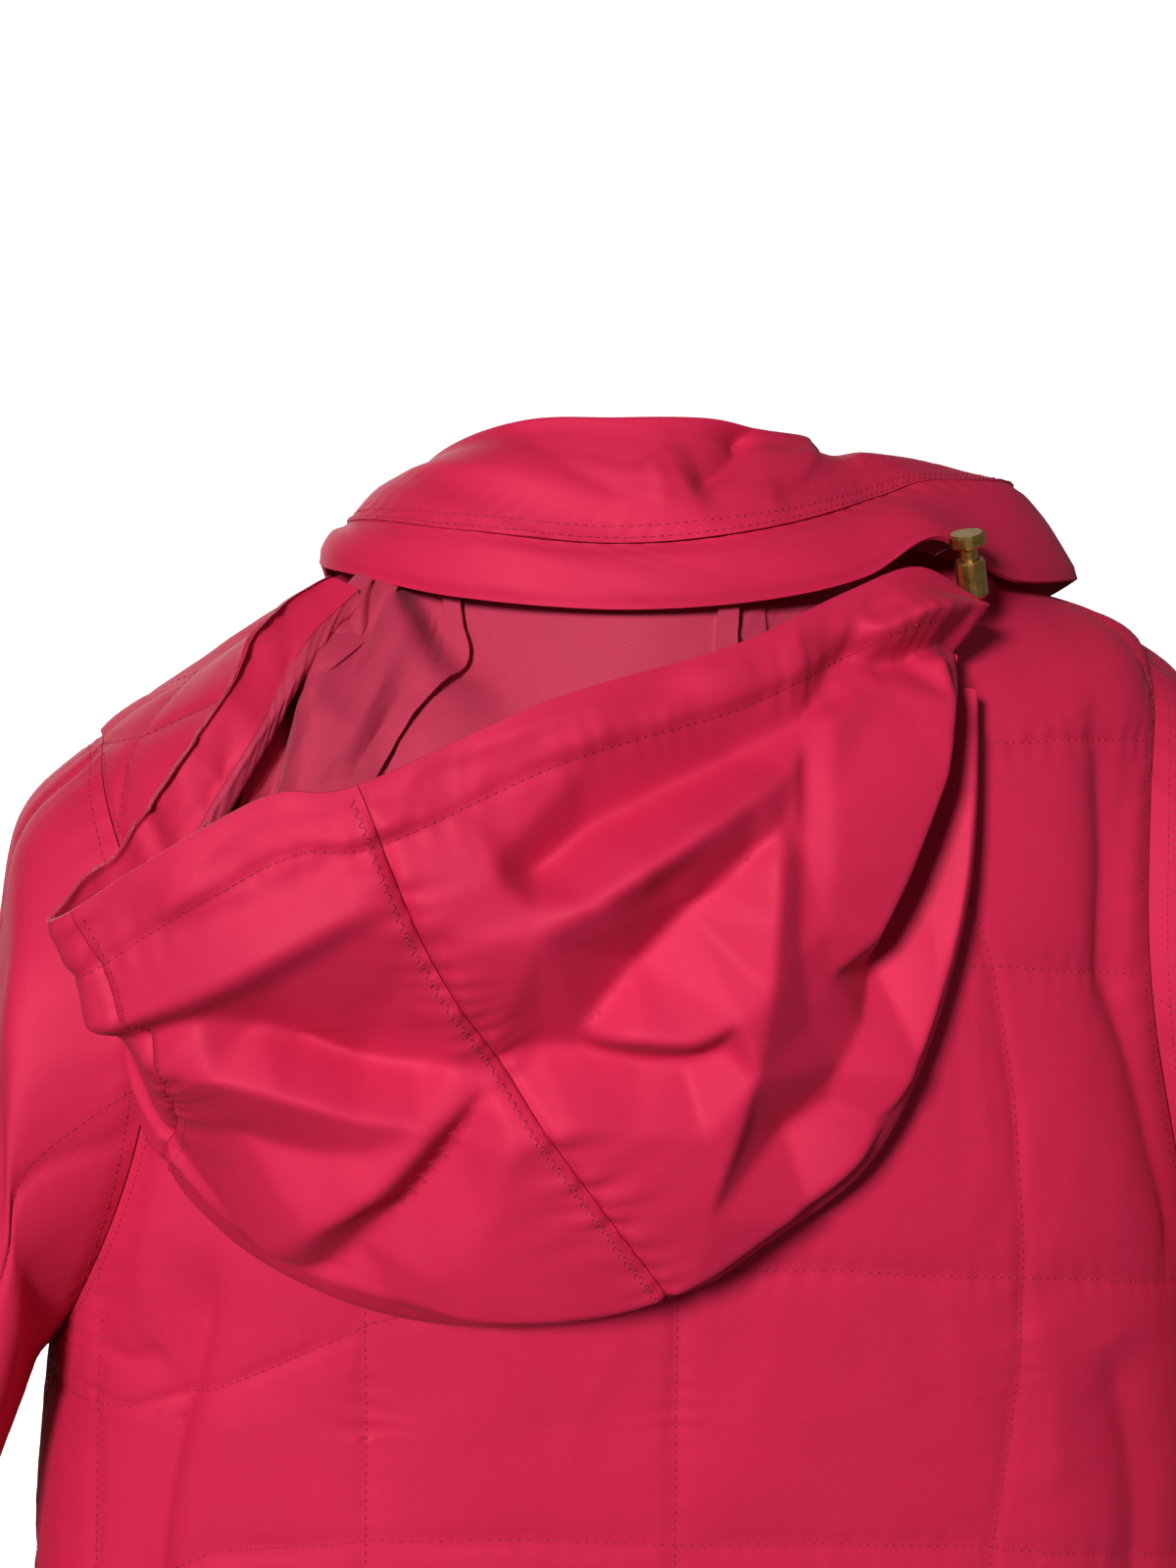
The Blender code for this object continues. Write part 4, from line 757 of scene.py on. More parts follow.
def back_surface_y(x, z):
    """How far back the body reaches at given widths and heights."""
    low, high = np.zeros(x.shape), np.full(x.shape, float(NECK_ROW))
    for _ in range(26):
        row = (low + high) / 2
        side_z, width, depth, middle_z, _, _, power = np.moveaxis(spline(TORSO, row), -1, 0)
        s = np.minimum(0.97, np.abs(x) / (width * CM)) ** (power / 2)
        c = np.sqrt(1 - s * s)
        height = (side_z + (middle_z - side_z) * c * c) * CM
        found = settle(np.stack((x, x * 0, height), axis=-1))[..., 2]
        low, high = np.where(found < z, row, low), np.where(found < z, high, row)
    return depth * CM * c ** (2 / power)


def clear_of_back(x, z):
    """How far back cloth lies that keeps the hood's clearance to a sloping back."""
    step = 0.002
    across = (back_surface_y(x + step, z) - back_surface_y(x - step, z)) / (2 * step)
    upwards = (back_surface_y(x, z + step) - back_surface_y(x, z - step)) / (2 * step)
    slope = np.sqrt(1 + across ** 2 + upwards ** 2)
    return back_surface_y(x, z) + HOOD_CLEARANCE * np.minimum(1.8, slope)


def body_rows():
    """Row numbers of the body's fine grid, closer together at the armhole's ends."""
    below = np.linspace(0, ARMPIT_ROW, ROWS_BELOW + 1)
    turn = np.linspace(0, np.pi, ROWS_ARMHOLE + 1)[1:]
    armhole = ARMPIT_ROW + (TIP_ROW - ARMPIT_ROW) * (1 - np.cos(turn)) / 2
    above = np.linspace(TIP_ROW, NECK_ROW, ROWS_ABOVE + 1)[1:]
    return np.concatenate((below, armhole, above))


def side_edge(rows, cut):
    """Angle from the middle line to a panel's side edge: side seam, armhole or shoulder."""
    share = np.clip((rows - ARMPIT_ROW) / (TIP_ROW - ARMPIT_ROW), 0, 1)
    return np.pi / 2 - cut * np.abs(np.sin(np.pi * share)) ** 0.6


def panel_grid(start, end, rows, steps):
    """A body panel's grid with even spaces across, and each point's angle."""
    share = np.linspace(0, 1, 500)
    dense = start[:, None] + (end - start)[:, None] * share
    points = torso_points(dense, np.broadcast_to(rows[:, None], dense.shape))
    arcs = run_lengths(points, 1)
    angles = np.array([np.interp(np.linspace(0, arc[-1], steps + 1), arc, line)
                       for arc, line in zip(arcs, dense)])
    middle = np.array([np.interp(0.0, -line, arc) for arc, line in zip(arcs, dense)])
    places = np.repeat(rows[:, None], steps + 1, axis=1)
    points = torso_points(angles, places)
    points[..., 2] -= shoulder_drop(points)
    grid = ClothGrid(points, centre=np.array((0.0, 0.0, -0.3)))
    around = torso_points(angles + 0.002, places) - torso_points(angles - 0.002, places)
    higher, lower = np.minimum(places + 0.02, NECK_ROW), np.maximum(places - 0.02, 0)
    upward = torso_points(angles, higher) - torso_points(angles, lower)
    grid.rise = np.abs(upward[..., 2]) / np.linalg.norm(upward, axis=2)
    outwards = unit(np.cross(around, upward))
    outwards *= np.sign(np.sum(outwards * grid.normals, axis=2).mean())
    grid.normals, grid.base_normals = outwards, outwards.copy()
    return grid, middle


def shoulder_drop(points):
    """How far the cloth of the left shoulder lies below the body's plain form."""
    x, z = points[..., 0], points[..., 2]
    outer = smooth((x - LEFT_DROP_X) / LEFT_DROP_OUT)
    return LEFT_DROP * outer * smooth((z - LEFT_DROP_Z) / LEFT_DROP_RISE)


def quilt_lift(grid, offs, alongs, cloth, seed):
    """Padding between quilting lines and the gathers along them."""
    loft = np.full(grid.points.shape[:2], cloth.loft)
    pucker = np.zeros_like(loft)
    for k, (off, along) in enumerate(zip(offs, alongs)):
        away = np.sqrt(off ** 2 + LOFT_ROUNDING ** 2) - LOFT_ROUNDING
        loft *= 1 - np.exp(-away / cloth.loft_reach)
        loft -= LINE_DEPTH * np.exp(-(off / LINE_WIDTH) ** 2)
        pucker += gathers(along, off, cloth.pucker_pitch, PUCKER_REACH, seed + 11 * k)
    return loft + cloth.pucker * pucker


def middle_length(grid):
    """Length up a body panel at its middle column, for every point of its rows."""
    return np.repeat(grid.up[:, grid.up.shape[1] // 2, None], grid.up.shape[1], axis=1)


def edge_length(grid):
    """Length up a body panel along the nearer of its side edges."""
    near_start = grid.across < grid.across[:, -1:] / 2
    return np.where(near_start, grid.up[:, :1], grid.up[:, -1:])


def edge_gathers(grid, edges, rows, seed):
    """Gathers off a panel's side edges, up to the shoulder's tip."""
    below_tip = smooth((TIP_ROW - rows) / 0.5)[:, None]
    pull = gathers(edge_length(grid), edges, pitch=0.011, reach=0.012, seed=seed)
    return 0.0007 * pull * below_tip * smooth(edges / 0.003)


def back_lines(grid, across):
    """Distances from each quilting line of the back, and places along it."""
    x_cm, z = across / CM, grid.points[..., 2]
    stretch = 1 / np.maximum(grid.rise, 0.35)
    offs, alongs = [], []
    for level in back_levels():
        offs.append((z - np.interp(x_cm, QUILT_ACROSS, level) * CM) * stretch)
        alongs.append(across + 1.0)
    for line in QUILT_VERTICALS:
        offs.append(across - np.interp(z / CM, QUILT_HEIGHTS, line) * CM)
        alongs.append(middle_length(grid) + 2.0)
    return offs, alongs


def back_levels():
    """Heights of all the back's horizontal quilting lines at the places QUILT_ACROSS."""
    levels = list(QUILT_LEVELS)
    while levels[-1].min() - QUILT_PITCH > -60.5:
        levels.append(levels[-1] - QUILT_PITCH)
    return levels


def crossing(values, wanted):
    """Fractional index along each row of values where the row passes the wanted one."""
    sign = values[:, :-1] - wanted[:, None]
    after = values[:, 1:] - wanted[:, None]
    crosses = (sign * after) <= 0
    first = np.argmax(crosses, axis=1)
    found = crosses.any(axis=1)
    pick = np.arange(len(values))
    a, b = sign[pick, first], after[pick, first]
    span = np.where(np.abs(a - b) < 1e-12, 1e-12, a - b)
    return np.where(found, first + a / span, np.nan)


def add_line(kind, grid, rows, columns):
    """Keep a stitched line that runs over a grid, in pieces where it leaves the cloth."""
    good = np.isfinite(rows) & np.isfinite(columns)
    breaks = np.flatnonzero(np.diff(good.astype(int))) + 1
    for chunk in np.split(np.arange(len(rows)), breaks):
        if len(chunk) > 4 and good[chunk[0]]:
            SEWING_LINES[kind].append(grid.sample(rows[chunk], columns[chunk]))


def make_back(cloth, materials):
    """The back panel with its quilting, folds and stitched lines."""
    rows = body_rows()
    edge = side_edge(rows, BACK_CUT)
    grid, middle = panel_grid(edge, -edge, rows, BACK_STEPS)
    across = middle[:, None] - grid.across
    grid.draw_back("left", SEAM_GAP)
    grid.draw_back("right", SEAM_GAP)
    offs, alongs = back_lines(grid, across)
    edges = np.minimum(grid.across, grid.across[:, -1:] - grid.across)
    height = quilt_lift(grid, offs, alongs, cloth, 20)
    height *= smooth(edges / 0.012)
    x, z = grid.points[..., 0], grid.points[..., 2]
    height += creases(x, z, BACK_FOLDS) * smooth(edges / 0.02)
    length = middle_length(grid)
    height += (0.0010 * lumps(across * 22, length * 14, 61) + 0.0005 * crinkles(
        across * 55, length * 30, 62)) * smooth(edges / 0.012)
    height += edge_gathers(grid, edges, rows, 71)
    grid.lift(height)
    add_verticals(grid, across, [np.interp(z.mean(axis=1) / CM, QUILT_HEIGHTS, line) * CM
                                 for line in QUILT_VERTICALS])
    add_levels(grid, [z - np.interp(across / CM, QUILT_ACROSS, level) * CM
                      for level in back_levels()])
    add_edge_lines(grid, rows)
    item = cloth_piece("back_cloth", grid, BODY_WALL, materials)
    show(item, grid, ["back"], fill=0.25)


def add_edge_lines(grid, rows):
    """Topstitching beside a panel's side edges and above its hem."""
    steps = grid.points.shape[1] - 1
    inset = 0.004 / np.maximum(grid.across[:, -1], 0.01) * steps
    armhole = np.where(rows < TIP_ROW - 0.05, inset, np.nan)
    count = np.arange(len(rows), dtype=float)
    add_line("topstitching", grid, count, armhole)
    add_line("topstitching", grid, count, steps - armhole)
    columns = np.arange(steps + 1, dtype=float)
    add_line("topstitching", grid, columns * 0 + HEM_ROW, columns)


def add_verticals(grid, across, places):
    """Quilting lines up a panel at places across it, one place for each row."""
    count = np.arange(len(across), dtype=float)
    for wanted in places:
        add_line("quilting", grid, count, crossing(across, wanted))


def add_levels(grid, gaps):
    """Quilting lines across a panel, each where its gap to the points passes 0."""
    columns = np.arange(grid.points.shape[1], dtype=float)
    for gap in gaps:
        add_line("quilting", grid, crossing(gap.T, np.zeros(len(columns))), columns)


def make_front(sign, cloth, materials):
    """One front panel."""
    name = "left" if sign > 0 else "right"
    rows = body_rows()
    width, power = picked(spline(TORSO, rows), TORSO_COLUMNS, "half_width", "power")
    zip_angle = np.arcsin((ZIP_HALF_GAP / (width * CM)) ** (power / 2))
    start, end = sign * (np.pi - side_edge(rows, FRONT_CUT)), sign * (np.pi - zip_angle)
    grid, _ = panel_grid(start, end, rows, FRONT_STEPS)
    across = grid.across[:, -1:] - grid.across
    grid.draw_back("left", SEAM_GAP)
    z = grid.points[..., 2]
    sag = FRONT_SAG * smooth(1 - across / FRONT_SAG_REACH)
    gaps = [z - (level - sag) * CM for level in FRONT_LEVELS]
    offs = gaps + [across - line * CM for line in FRONT_VERTICALS]
    alongs = [across + 3.0] * len(gaps) + [middle_length(grid) + 4.0] * len(FRONT_VERTICALS)
    edges = np.minimum(grid.across, across)
    seed = 120 if sign > 0 else 220
    height = quilt_lift(grid, offs, alongs, cloth, seed) * smooth(edges / 0.010)
    length = middle_length(grid)
    height += (0.0012 * lumps(across * 20, length * 12, seed + 1) + 0.0005 * crinkles(
        across * 50, length * 28, seed + 2)) * smooth(edges / 0.012)
    height += edge_gathers(grid, edges, rows, seed + 3)
    drape = np.sin(2 * np.pi * (across / 0.115 + 0.15 * lumps(across * 0 + seed, length * 5, 9)))
    height += 0.0022 * drape * smooth((-0.22 - z) / 0.3) * smooth(edges / 0.04)
    grid.lift(height)
    add_verticals(grid, across, [np.full(len(rows), line * CM) for line in FRONT_VERTICALS])
    add_levels(grid, gaps)
    add_edge_lines(grid, rows)
    item = cloth_piece(f"front_{name}_cloth", grid, BODY_WALL, materials)
    show(item, grid, [f"front_{name}"], fill=0.25)


def make_sleeve(sign, cloth, materials):
    """One sleeve, a tube from the armhole to the cuff."""
    name = "left" if sign > 0 else "right"
    count = 2 * ROWS_ARMHOLE
    place = np.arange(count) * 16 / count
    step = np.where(place <= 8, 8 - place, place - 8)
    rows = ARMPIT_ROW + (TIP_ROW - ARMPIT_ROW) * (1 - np.cos(np.pi * step / 8)) / 2
    angles = np.where(place <= 8, side_edge(rows, BACK_CUT), np.pi - side_edge(rows, FRONT_CUT))
    rings = [torso_points(sign * angles, rows)]
    turn = 2 * np.pi * place / 16
    for row in SLEEVE:
        at = dict(zip(SLEEVE_COLUMNS, row))
        outer = np.array((at["outer_x"], at["middle_y"], at["outer_z"]))
        inner = np.array((at["inner_x"], at["middle_y"], at["inner_z"]))
        ring = (outer + inner) / 2 + (outer - inner) / 2 * np.cos(turn)[:, None]
        ring[:, 1] += at["half_depth"] * np.sin(turn)
        rings.append(settle(ring * np.array((sign, 1.0, 1.0)) * CM))
    rings = np.array(rings)
    dense = np.linspace(0, len(rings) - 1, 400)
    length = np.concatenate(((0.0,), np.cumsum(np.linalg.norm(
        np.diff(spline(rings, dense).mean(axis=1), axis=0), axis=1) + 0.0006)))
    stations = np.interp(np.linspace(0, length[-1], SLEEVE_ALONG + 1), length, dense)
    points = spline(rings, stations)
    points[..., 2] -= shoulder_drop(points)
    centre = points.mean(axis=1, keepdims=True)
    grid = ClothGrid(points, centre=centre, wrap=True)
    grid.draw_back("bottom", SEAM_GAP)
    full = grid.across[:, -1:] * count / (count - 1)
    share = grid.across / full
    down = grid.up
    seed = 320 if sign > 0 else 420
    offs, alongs = [], []
    for level in SLEEVE_LEVELS:
        offs.append(down - level * CM)
        alongs.append(grid.across + 5.0)
    for line in SLEEVE_TURNS:
        off = ((share - line + 0.5) % 1.0 - 0.5) * full
        offs.append(off)
        alongs.append(down + 6.0)
    height = quilt_lift(grid, offs, alongs, cloth, seed) * smooth(down / 0.012)
    round_x, round_y = np.cos(2 * np.pi * share), np.sin(2 * np.pi * share)
    height += 0.0016 * lumps(round_x * 2.4 + 9, round_y * 2.4 + down * 11, seed + 1) * smooth(
        down / 0.02)
    wander = 0.25 * lumps(round_x * 2 + 5, down * 9, seed + 2)
    waves = 0.0030 * np.sin(2 * np.pi * (down / 0.058 + 0.8 * share + wander))
    uneven = 0.45 + 0.55 * lumps(round_x * 1.5, round_y * 1.5 + down * 6, seed + 3)
    height += waves * smooth((down - 0.06) / 0.08) * smooth((0.60 - down) / 0.1) * uneven
    pull = gathers(grid.across, down, pitch=0.010, reach=0.012, seed=seed + 4)
    height += 0.0006 * pull * smooth(down / 0.003)
    height += 0.0005 * crinkles(round_x * 5 + 9, round_y * 5 + down * 30, seed + 5) * smooth(
        down / 0.02)
    grid.lift(height)
    around = np.arange(count + 1, dtype=float)
    ring_rows = np.arange(points.shape[0], dtype=float)
    closed = grid.part()
    for key in ("points", "normals"):
        values = getattr(grid, key)
        setattr(closed, key, np.concatenate((values, values[:, :1]), axis=1))
    for level in SLEEVE_LEVELS:
        found = crossing(down.T, np.full(count, level * CM))
        add_line("quilting", closed, np.concatenate((found, found[:1])), around)
    for line in SLEEVE_TURNS:
        add_line("quilting", closed, ring_rows, ring_rows * 0 + line * count)
    for row in (SLEEVE_HEAD_ROW, points.shape[0] - CUFF_ROWS):
        add_line("topstitching", closed, around * 0 + row, around)
    item = cloth_piece(f"sleeve_{name}_cloth", grid, SLEEVE_WALL, materials)
    show(item, grid, [f"sleeve_{name}"], fill=0.25)


# ---------------------------------------------------------------- curves through sections

def curve_through(points, spans):
    """Points on curves through control points, a curve for each first index. The curves don't
    loop where the control points are close together."""
    before = 2 * points[:, :1] - points[:, 1:2]
    after = 2 * points[:, -1:] - points[:, -2:-1]
    knots = np.concatenate((before, points, after), axis=1)
    result = []
    for k, steps in enumerate(spans):
        p = [knots[:, k + m] for m in range(4)]
        gaps = [np.linalg.norm(p[m + 1] - p[m], axis=1) ** 0.5 for m in range(3)]
        t = [np.zeros(len(points))]
        for gap in gaps:
            t.append(t[-1] + np.maximum(gap, 1e-6))
        t = [value[:, None] for value in t]
        for step in range(steps):
            f = t[1] + (t[2] - t[1]) * step / steps
            a = [((t[m + 1] - f) * p[m] + (f - t[m]) * p[m + 1]) / (t[m + 1] - t[m])
                 for m in range(3)]
            b = [((t[m + 2] - f) * a[m] + (f - t[m]) * a[m + 1]) / (t[m + 2] - t[m])
                 for m in range(2)]
            result.append(((t[2] - f) * b[0] + (f - t[1]) * b[1]) / (t[2] - t[1]))
    result.append(points[:, -1])
    return np.array(result)


def round_neck(angle, radius, height):
    """Points at a distance from the neck's axis, radius and height in centimetres."""
    turn = np.radians(angle)
    height = np.broadcast_to(height, turn.shape)
    return np.stack((radius * np.sin(turn), radius * np.cos(turn), height), axis=-1) * CM


# ---------------------------------------------------------------- collar

def collar_parts():
    """Control points of the stand, the fall and the band at fine steps round the neck."""
    angles = np.linspace(COLLAR[0][0], COLLAR[-1][0], COLLAR_AROUND + 1)
    dense = np.linspace(0, len(COLLAR) - 1, 3000)
    positions = np.interp(angles, picked(spline(COLLAR, dense), COLLAR_COLUMNS, "angle")[0], dense)
    _, fold_r, fold_z, seam_r, seam_z, edge_r, edge_z = spline(COLLAR, positions).T
    foot = torso_points(np.radians(angles), np.full(len(angles), float(NECK_ROW)))
    foot[:, 2] += SEAM_GAP * 3
    top = round_neck(angles, fold_r - 0.40, fold_z - STAND_DROP)
    seam, edge = round_neck(angles, seam_r, seam_z), round_neck(angles, edge_r, edge_z)
    stand = np.stack((foot, (foot + top) / 2, top), axis=1)
    fall = np.stack((top + np.array((0, 0, SEAM_GAP)),
                     round_neck(angles, fold_r - 0.28, fold_z - 0.25),
                     round_neck(angles, fold_r + 0.08, fold_z),
                     round_neck(angles, fold_r + 0.50, fold_z - 0.35),
                     round_neck(angles, fold_r * 0.5 + seam_r * 0.5 + 0.28,
                                fold_z * 0.5 + seam_z * 0.5 + 0.22), seam), axis=1)
    slope = unit(edge - seam)
    band = np.stack((seam + slope * SEAM_GAP, (seam + edge) / 2 + round_neck(angles, 0.12, 0.10),
                     edge), axis=1)
    return stand, fall, band


def make_collar(cloth, materials):
    """The stand, the fall folded over it and the stitched band on its edge."""
    stand, fall, band = collar_parts()
    axis = np.array((0.0, 0.0, 0.02))
    count = COLLAR_AROUND + 1
    columns = np.arange(count, dtype=float)
    stand_grid = ClothGrid(curve_through(stand, (6, 6)), centre=axis)
    pull = gathers(stand_grid.across, stand_grid.up, pitch=0.009, reach=0.012, seed=501)
    stand_grid.lift(0.0004 * pull)
    item = cloth_piece("collar_stand_cloth", stand_grid, COLLAR_WALL, materials)
    show(item, stand_grid, ["collar_stand"], held="stretched")

    spans = (4, 3, 5, 10, 13)
    fall_grid = ClothGrid(curve_through(fall, spans))
    if fall_grid.normals[sum(spans[:4]), count // 2, 1] < 0:
        fall_grid.turn_over()
    around, down = fall_grid.across, fall_grid.up
    to_seam = down[-1:] - down
    x, z = fall_grid.points[..., 0], fall_grid.points[..., 2]
    outside = smooth((np.arange(fall_grid.points.shape[0])[:, None] - 6) / 6.0)
    behind = smooth((fall_grid.points[..., 1] + 0.01) / 0.03)
    height = creases(x, z, COLLAR_FOLDS) * outside * behind
    height += cloth.pucker * gathers(around, to_seam, pitch=0.009, reach=0.009, seed=511)
    height += outside * (0.0010 * lumps(around * 26 + down * 18, down * 24, 512)
                         + 0.0004 * crinkles(around * 24 + down * 30, down * 30, 513))
    height += 0.0004 * smooth(1 - to_seam / 0.004)
    fall_grid.lift(height)
    rows = fall_grid.points.shape[0]
    for inset in COLLAR_INSETS:
        step = np.mean(np.diff(down[-8:], axis=0))
        add_line("topstitching", fall_grid, columns * 0 + rows - 1 - inset / step, columns)
    item = cloth_piece("collar_fall_cloth", fall_grid, COLLAR_WALL, materials)
    show(item, fall_grid, ["collar_fall"], held="folded")

    band_grid = ClothGrid(curve_through(band, (9, 9)))
    if fall_grid.flip:
        band_grid.turn_over()
    around, down = band_grid.across, band_grid.up
    height = cloth.pucker * 0.9 * gathers(around, down, pitch=0.009, reach=0.007, seed=521)
    height += cloth.pucker * 0.3 * gathers(
        around, down[-1:] - down, pitch=0.014, reach=0.008, seed=522)
    height += 0.0012 * smooth(down / 0.006) * smooth((down[-1:] - down) / 0.005)
    height += 0.0006 * lumps(around * 40, down * 60, 523)
    band_grid.lift(height)
    item = cloth_piece("collar_band_cloth", band_grid, COLLAR_WALL, materials)
    show(item, band_grid, ["collar_band"], held="folded")


# ---------------------------------------------------------------- hood

def hood_controls(stations):
    """The points that each line of the hood's cloth passes through."""
    table = spline(HOOD, stations)
    rim = picked(table, HOOD_COLUMNS, "rim_x", "rim_y", "rim_z").T * CM
    belly = picked(table, HOOD_COLUMNS, "belly_x", "belly_y", "belly_z").T * CM
    bottom_x, bottom_z, depths, neck_angle, free = picked(
        table, HOOD_COLUMNS, "bottom_x", "bottom_z", "fold_depth", "neck_angle", "hangs_free")
    neck = round_neck(neck_angle, HOOD_NECK_R, HOOD_NECK_Z)
    foot = np.stack((bottom_x, bottom_x * 0, bottom_z), axis=1) * CM
    depths = depths * CM
    flat = np.array((1, 0, 1))
    to_belly, to_neck = unit((belly - foot) * flat), unit((neck - foot) * flat)
    reach = np.minimum(FOLD_BACK, 0.35 * np.linalg.norm((belly - foot) * flat, axis=1))[:, None]
    near_low, far_low = foot + to_belly * reach, foot + to_neck * reach
    far_middle = (far_low + neck) / 2 + np.array((0, 0, HOOD_RISE))
    for point, depth, share in ((near_low, 1.0, 0.92), (foot, 0.5, 0.85), (far_low, 0.0, 0.75),
                                (far_middle, 0.0, 0.4)):
        free_y = neck[:, 1] + (belly[:, 1] - neck[:, 1]) * share * free
        point[:, 1] = np.maximum(free_y, clear_of_back(point[:, 0], point[:, 2]) + depth * depths)
    return np.stack((rim, belly, near_low, foot, far_low, far_middle, neck), axis=1)


def hood_stations():
    """Stations of the hood's columns, evenly spaced over each of its three pieces."""
    ranges = (("side_right", 0, CROWN_START), ("crown", CROWN_START, CROWN_END),
              ("side_left", CROWN_END, len(HOOD) - 1))
    stations, columns = [], {}
    for name, first, last in ranges:
        dense = np.linspace(first, last, 300)
        table = spline(HOOD, dense)
        rim = picked(table, HOOD_COLUMNS, "rim_x", "rim_y", "rim_z").T
        belly = picked(table, HOOD_COLUMNS, "belly_x", "belly_y", "belly_z").T
        line = (rim + belly * 2) / 3 * CM
        length = np.concatenate(((0.0,), np.cumsum(np.linalg.norm(np.diff(line, axis=0), axis=1))))
        steps = HOOD_STEPS[name]
        even = np.interp(np.linspace(0, length[-1], steps + 1), length, dense)
        start = len(stations) - 1 if stations else 0
        stations = stations[:start] + list(even)
        columns[name] = slice(start, start + steps + 1)
    return np.array(stations), columns


def hood_form(cloth):
    """The hood's outer face with its folds, the columns of its pieces and its seams."""
    stations, columns = hood_stations()
    points = curve_through(hood_controls(stations), HOOD_SPANS)
    far = smooth((np.arange(len(points))[:, None] - sum(HOOD_SPANS[:3])) / 20)
    x, z = points[..., 0], points[..., 2]
    below_rim = smooth(np.arange(len(points)) / 28) * smooth((95 - np.arange(len(points))) / 50)
    points[..., 0] -= LEFT_END_PUSH * below_rim[:, None] * smooth((stations - 10.3) / 0.8)
    hollow = -((z - HOLLOW_Z) / HOLLOW_Z_REACH) ** 2 - ((x - HOLLOW_X) / HOLLOW_X_REACH) ** 2
    points[..., 0] -= HOLLOW_PUSH * far * np.exp(hollow)
    grid = ClothGrid(points)
    if grid.normals[HOOD_SPANS[0], len(stations) // 3, 1] < 0:
        grid.turn_over()
    rows = np.arange(points.shape[0], dtype=float)[:, None]
    outer = HOOD_SPANS[0] + HOOD_SPANS[1]
    near = smooth((outer + 2 - rows) / 12)
    rim_fade = smooth(rows / 10)
    x, z = points[..., 0], points[..., 2]
    left_end = smooth((10.8 - stations) / 1.2)[None, :]
    relief = flat_faces(x, z, HOOD_RELIEF)
    (crisp, few), (gentle, many) = RELIEF_SHARES
    relief = crisp * soften(relief, few) + gentle * soften(relief, many)
    height = relief * near * smooth((rows - 4) / 8) * left_end
    for k, seam in enumerate((columns["crown"].start, columns["crown"].stop - 1)):
        off = grid.across - grid.across[:, seam:seam + 1]
        height += 0.0009 * gathers(grid.up, off, pitch=0.016, reach=0.012, seed=611 + 7 * k)
        height += 0.0011 * gathers(grid.up, off, pitch=0.0075, reach=0.0045, seed=641 + 7 * k)
        height -= SEAM_DIP * np.exp(-(off / SEAM_DIP_WIDTH) ** 2) * smooth(rows / 16)
    below = grid.up - CASING_WIDTH
    height += 0.0006 * gathers(grid.across, below, pitch=0.009, reach=0.005, seed=651)
    height -= CASING_DIP * np.exp(-(below / CASING_DIP_WIDTH) ** 2)
    on_casing = smooth(0.5 - below / 0.006) * smooth(rows / 4)
    height += CASING_ROLL * on_casing * smooth(-below / 0.005)
    height += CASING_LUMPS * on_casing * lumps(
        grid.across * 45, grid.up * 60 + grid.across * 22, seed=652)
    height += CASING_CRINKLES * on_casing * crinkles(
        grid.across * 40, grid.up * 50 - grid.across * 24, seed=656)
    bunched = smooth((stations - 10.4) / 0.6)[None, :] * (1 - smooth((rows - 24) / 14))
    along = grid.across[6:7]
    height += BUNCHED_CRINKLES * bunched * crinkles(
        along * 78, along * 20 + grid.up * 30, seed=657)
    sway = BUNCHED_SWAY * lumps(along * 62, along * 0 + 2.5, seed=658)
    sway = sway * bunched * smooth(1 - rows / 22)
    grid.points += sway[..., None] * unit(np.gradient(grid.points, axis=0))
    height += 0.0009 * lumps(grid.across * 19 + grid.up * 8, grid.up * 17, 653) * rim_fade
    height += 0.0005 * crinkles(grid.across * 30 + grid.up * 22, grid.up * 30, 654) * rim_fade
    grid.lift(height)
    return grid, columns


def make_hood(cloth, materials):
    """The hood's shell in three pieces, and its casing's inner leaf."""
    grid, columns = hood_form(cloth)
    CLOTH["hood"], CLOTH["hood_columns"] = grid, columns
    for name, chosen in columns.items():
        piece = grid.part(columns=chosen)
        for edge in HOOD_SEAM_EDGES[name]:
            piece.draw_back(edge, SEAM_GAP / 2)
        item = cloth_piece(f"hood_{name}_cloth", piece, HOOD_WALL, materials)
        show(item, piece, [f"hood_{name}"], held="draped")
    leaf = under_hood(grid, HOOD_WALL + LAYER_GAP).part(
        rows=slice(0, CASING_STEPS + 1), columns=index_steps(grid.points.shape[1], 2))
    leaf.draw_back("top", SEAM_GAP / 2)
    item = cloth_piece("hood_casing_cloth", leaf, LINING_WALL, materials, inner_step=1)
    show(item, leaf, ["hood_casing"], held="draped")
    all_columns = np.arange(grid.points.shape[1], dtype=float)
    found = crossing(grid.up.T, np.full(len(all_columns), CASING_WIDTH))
    add_line("topstitching", grid, found, all_columns)
    rows = np.arange(3.0, HOOD_SPANS[0] + HOOD_SPANS[1] + 8)
    seam = columns["crown"].start
    add_line("zigzag", grid, rows, rows * 0 + seam + ZIGZAG_OFF_SEAM)
    add_line("topstitching", grid, rows, rows * 0 + columns["crown"].stop - STITCHES_OFF_SEAM)


def under_hood(grid, depth):
    """The hood's grid moved inwards along its smooth directions."""
    under = grid.part()
    under.points = grid.points - grid.base_normals * depth
    under.base = grid.base - grid.base_normals * depth
    return under


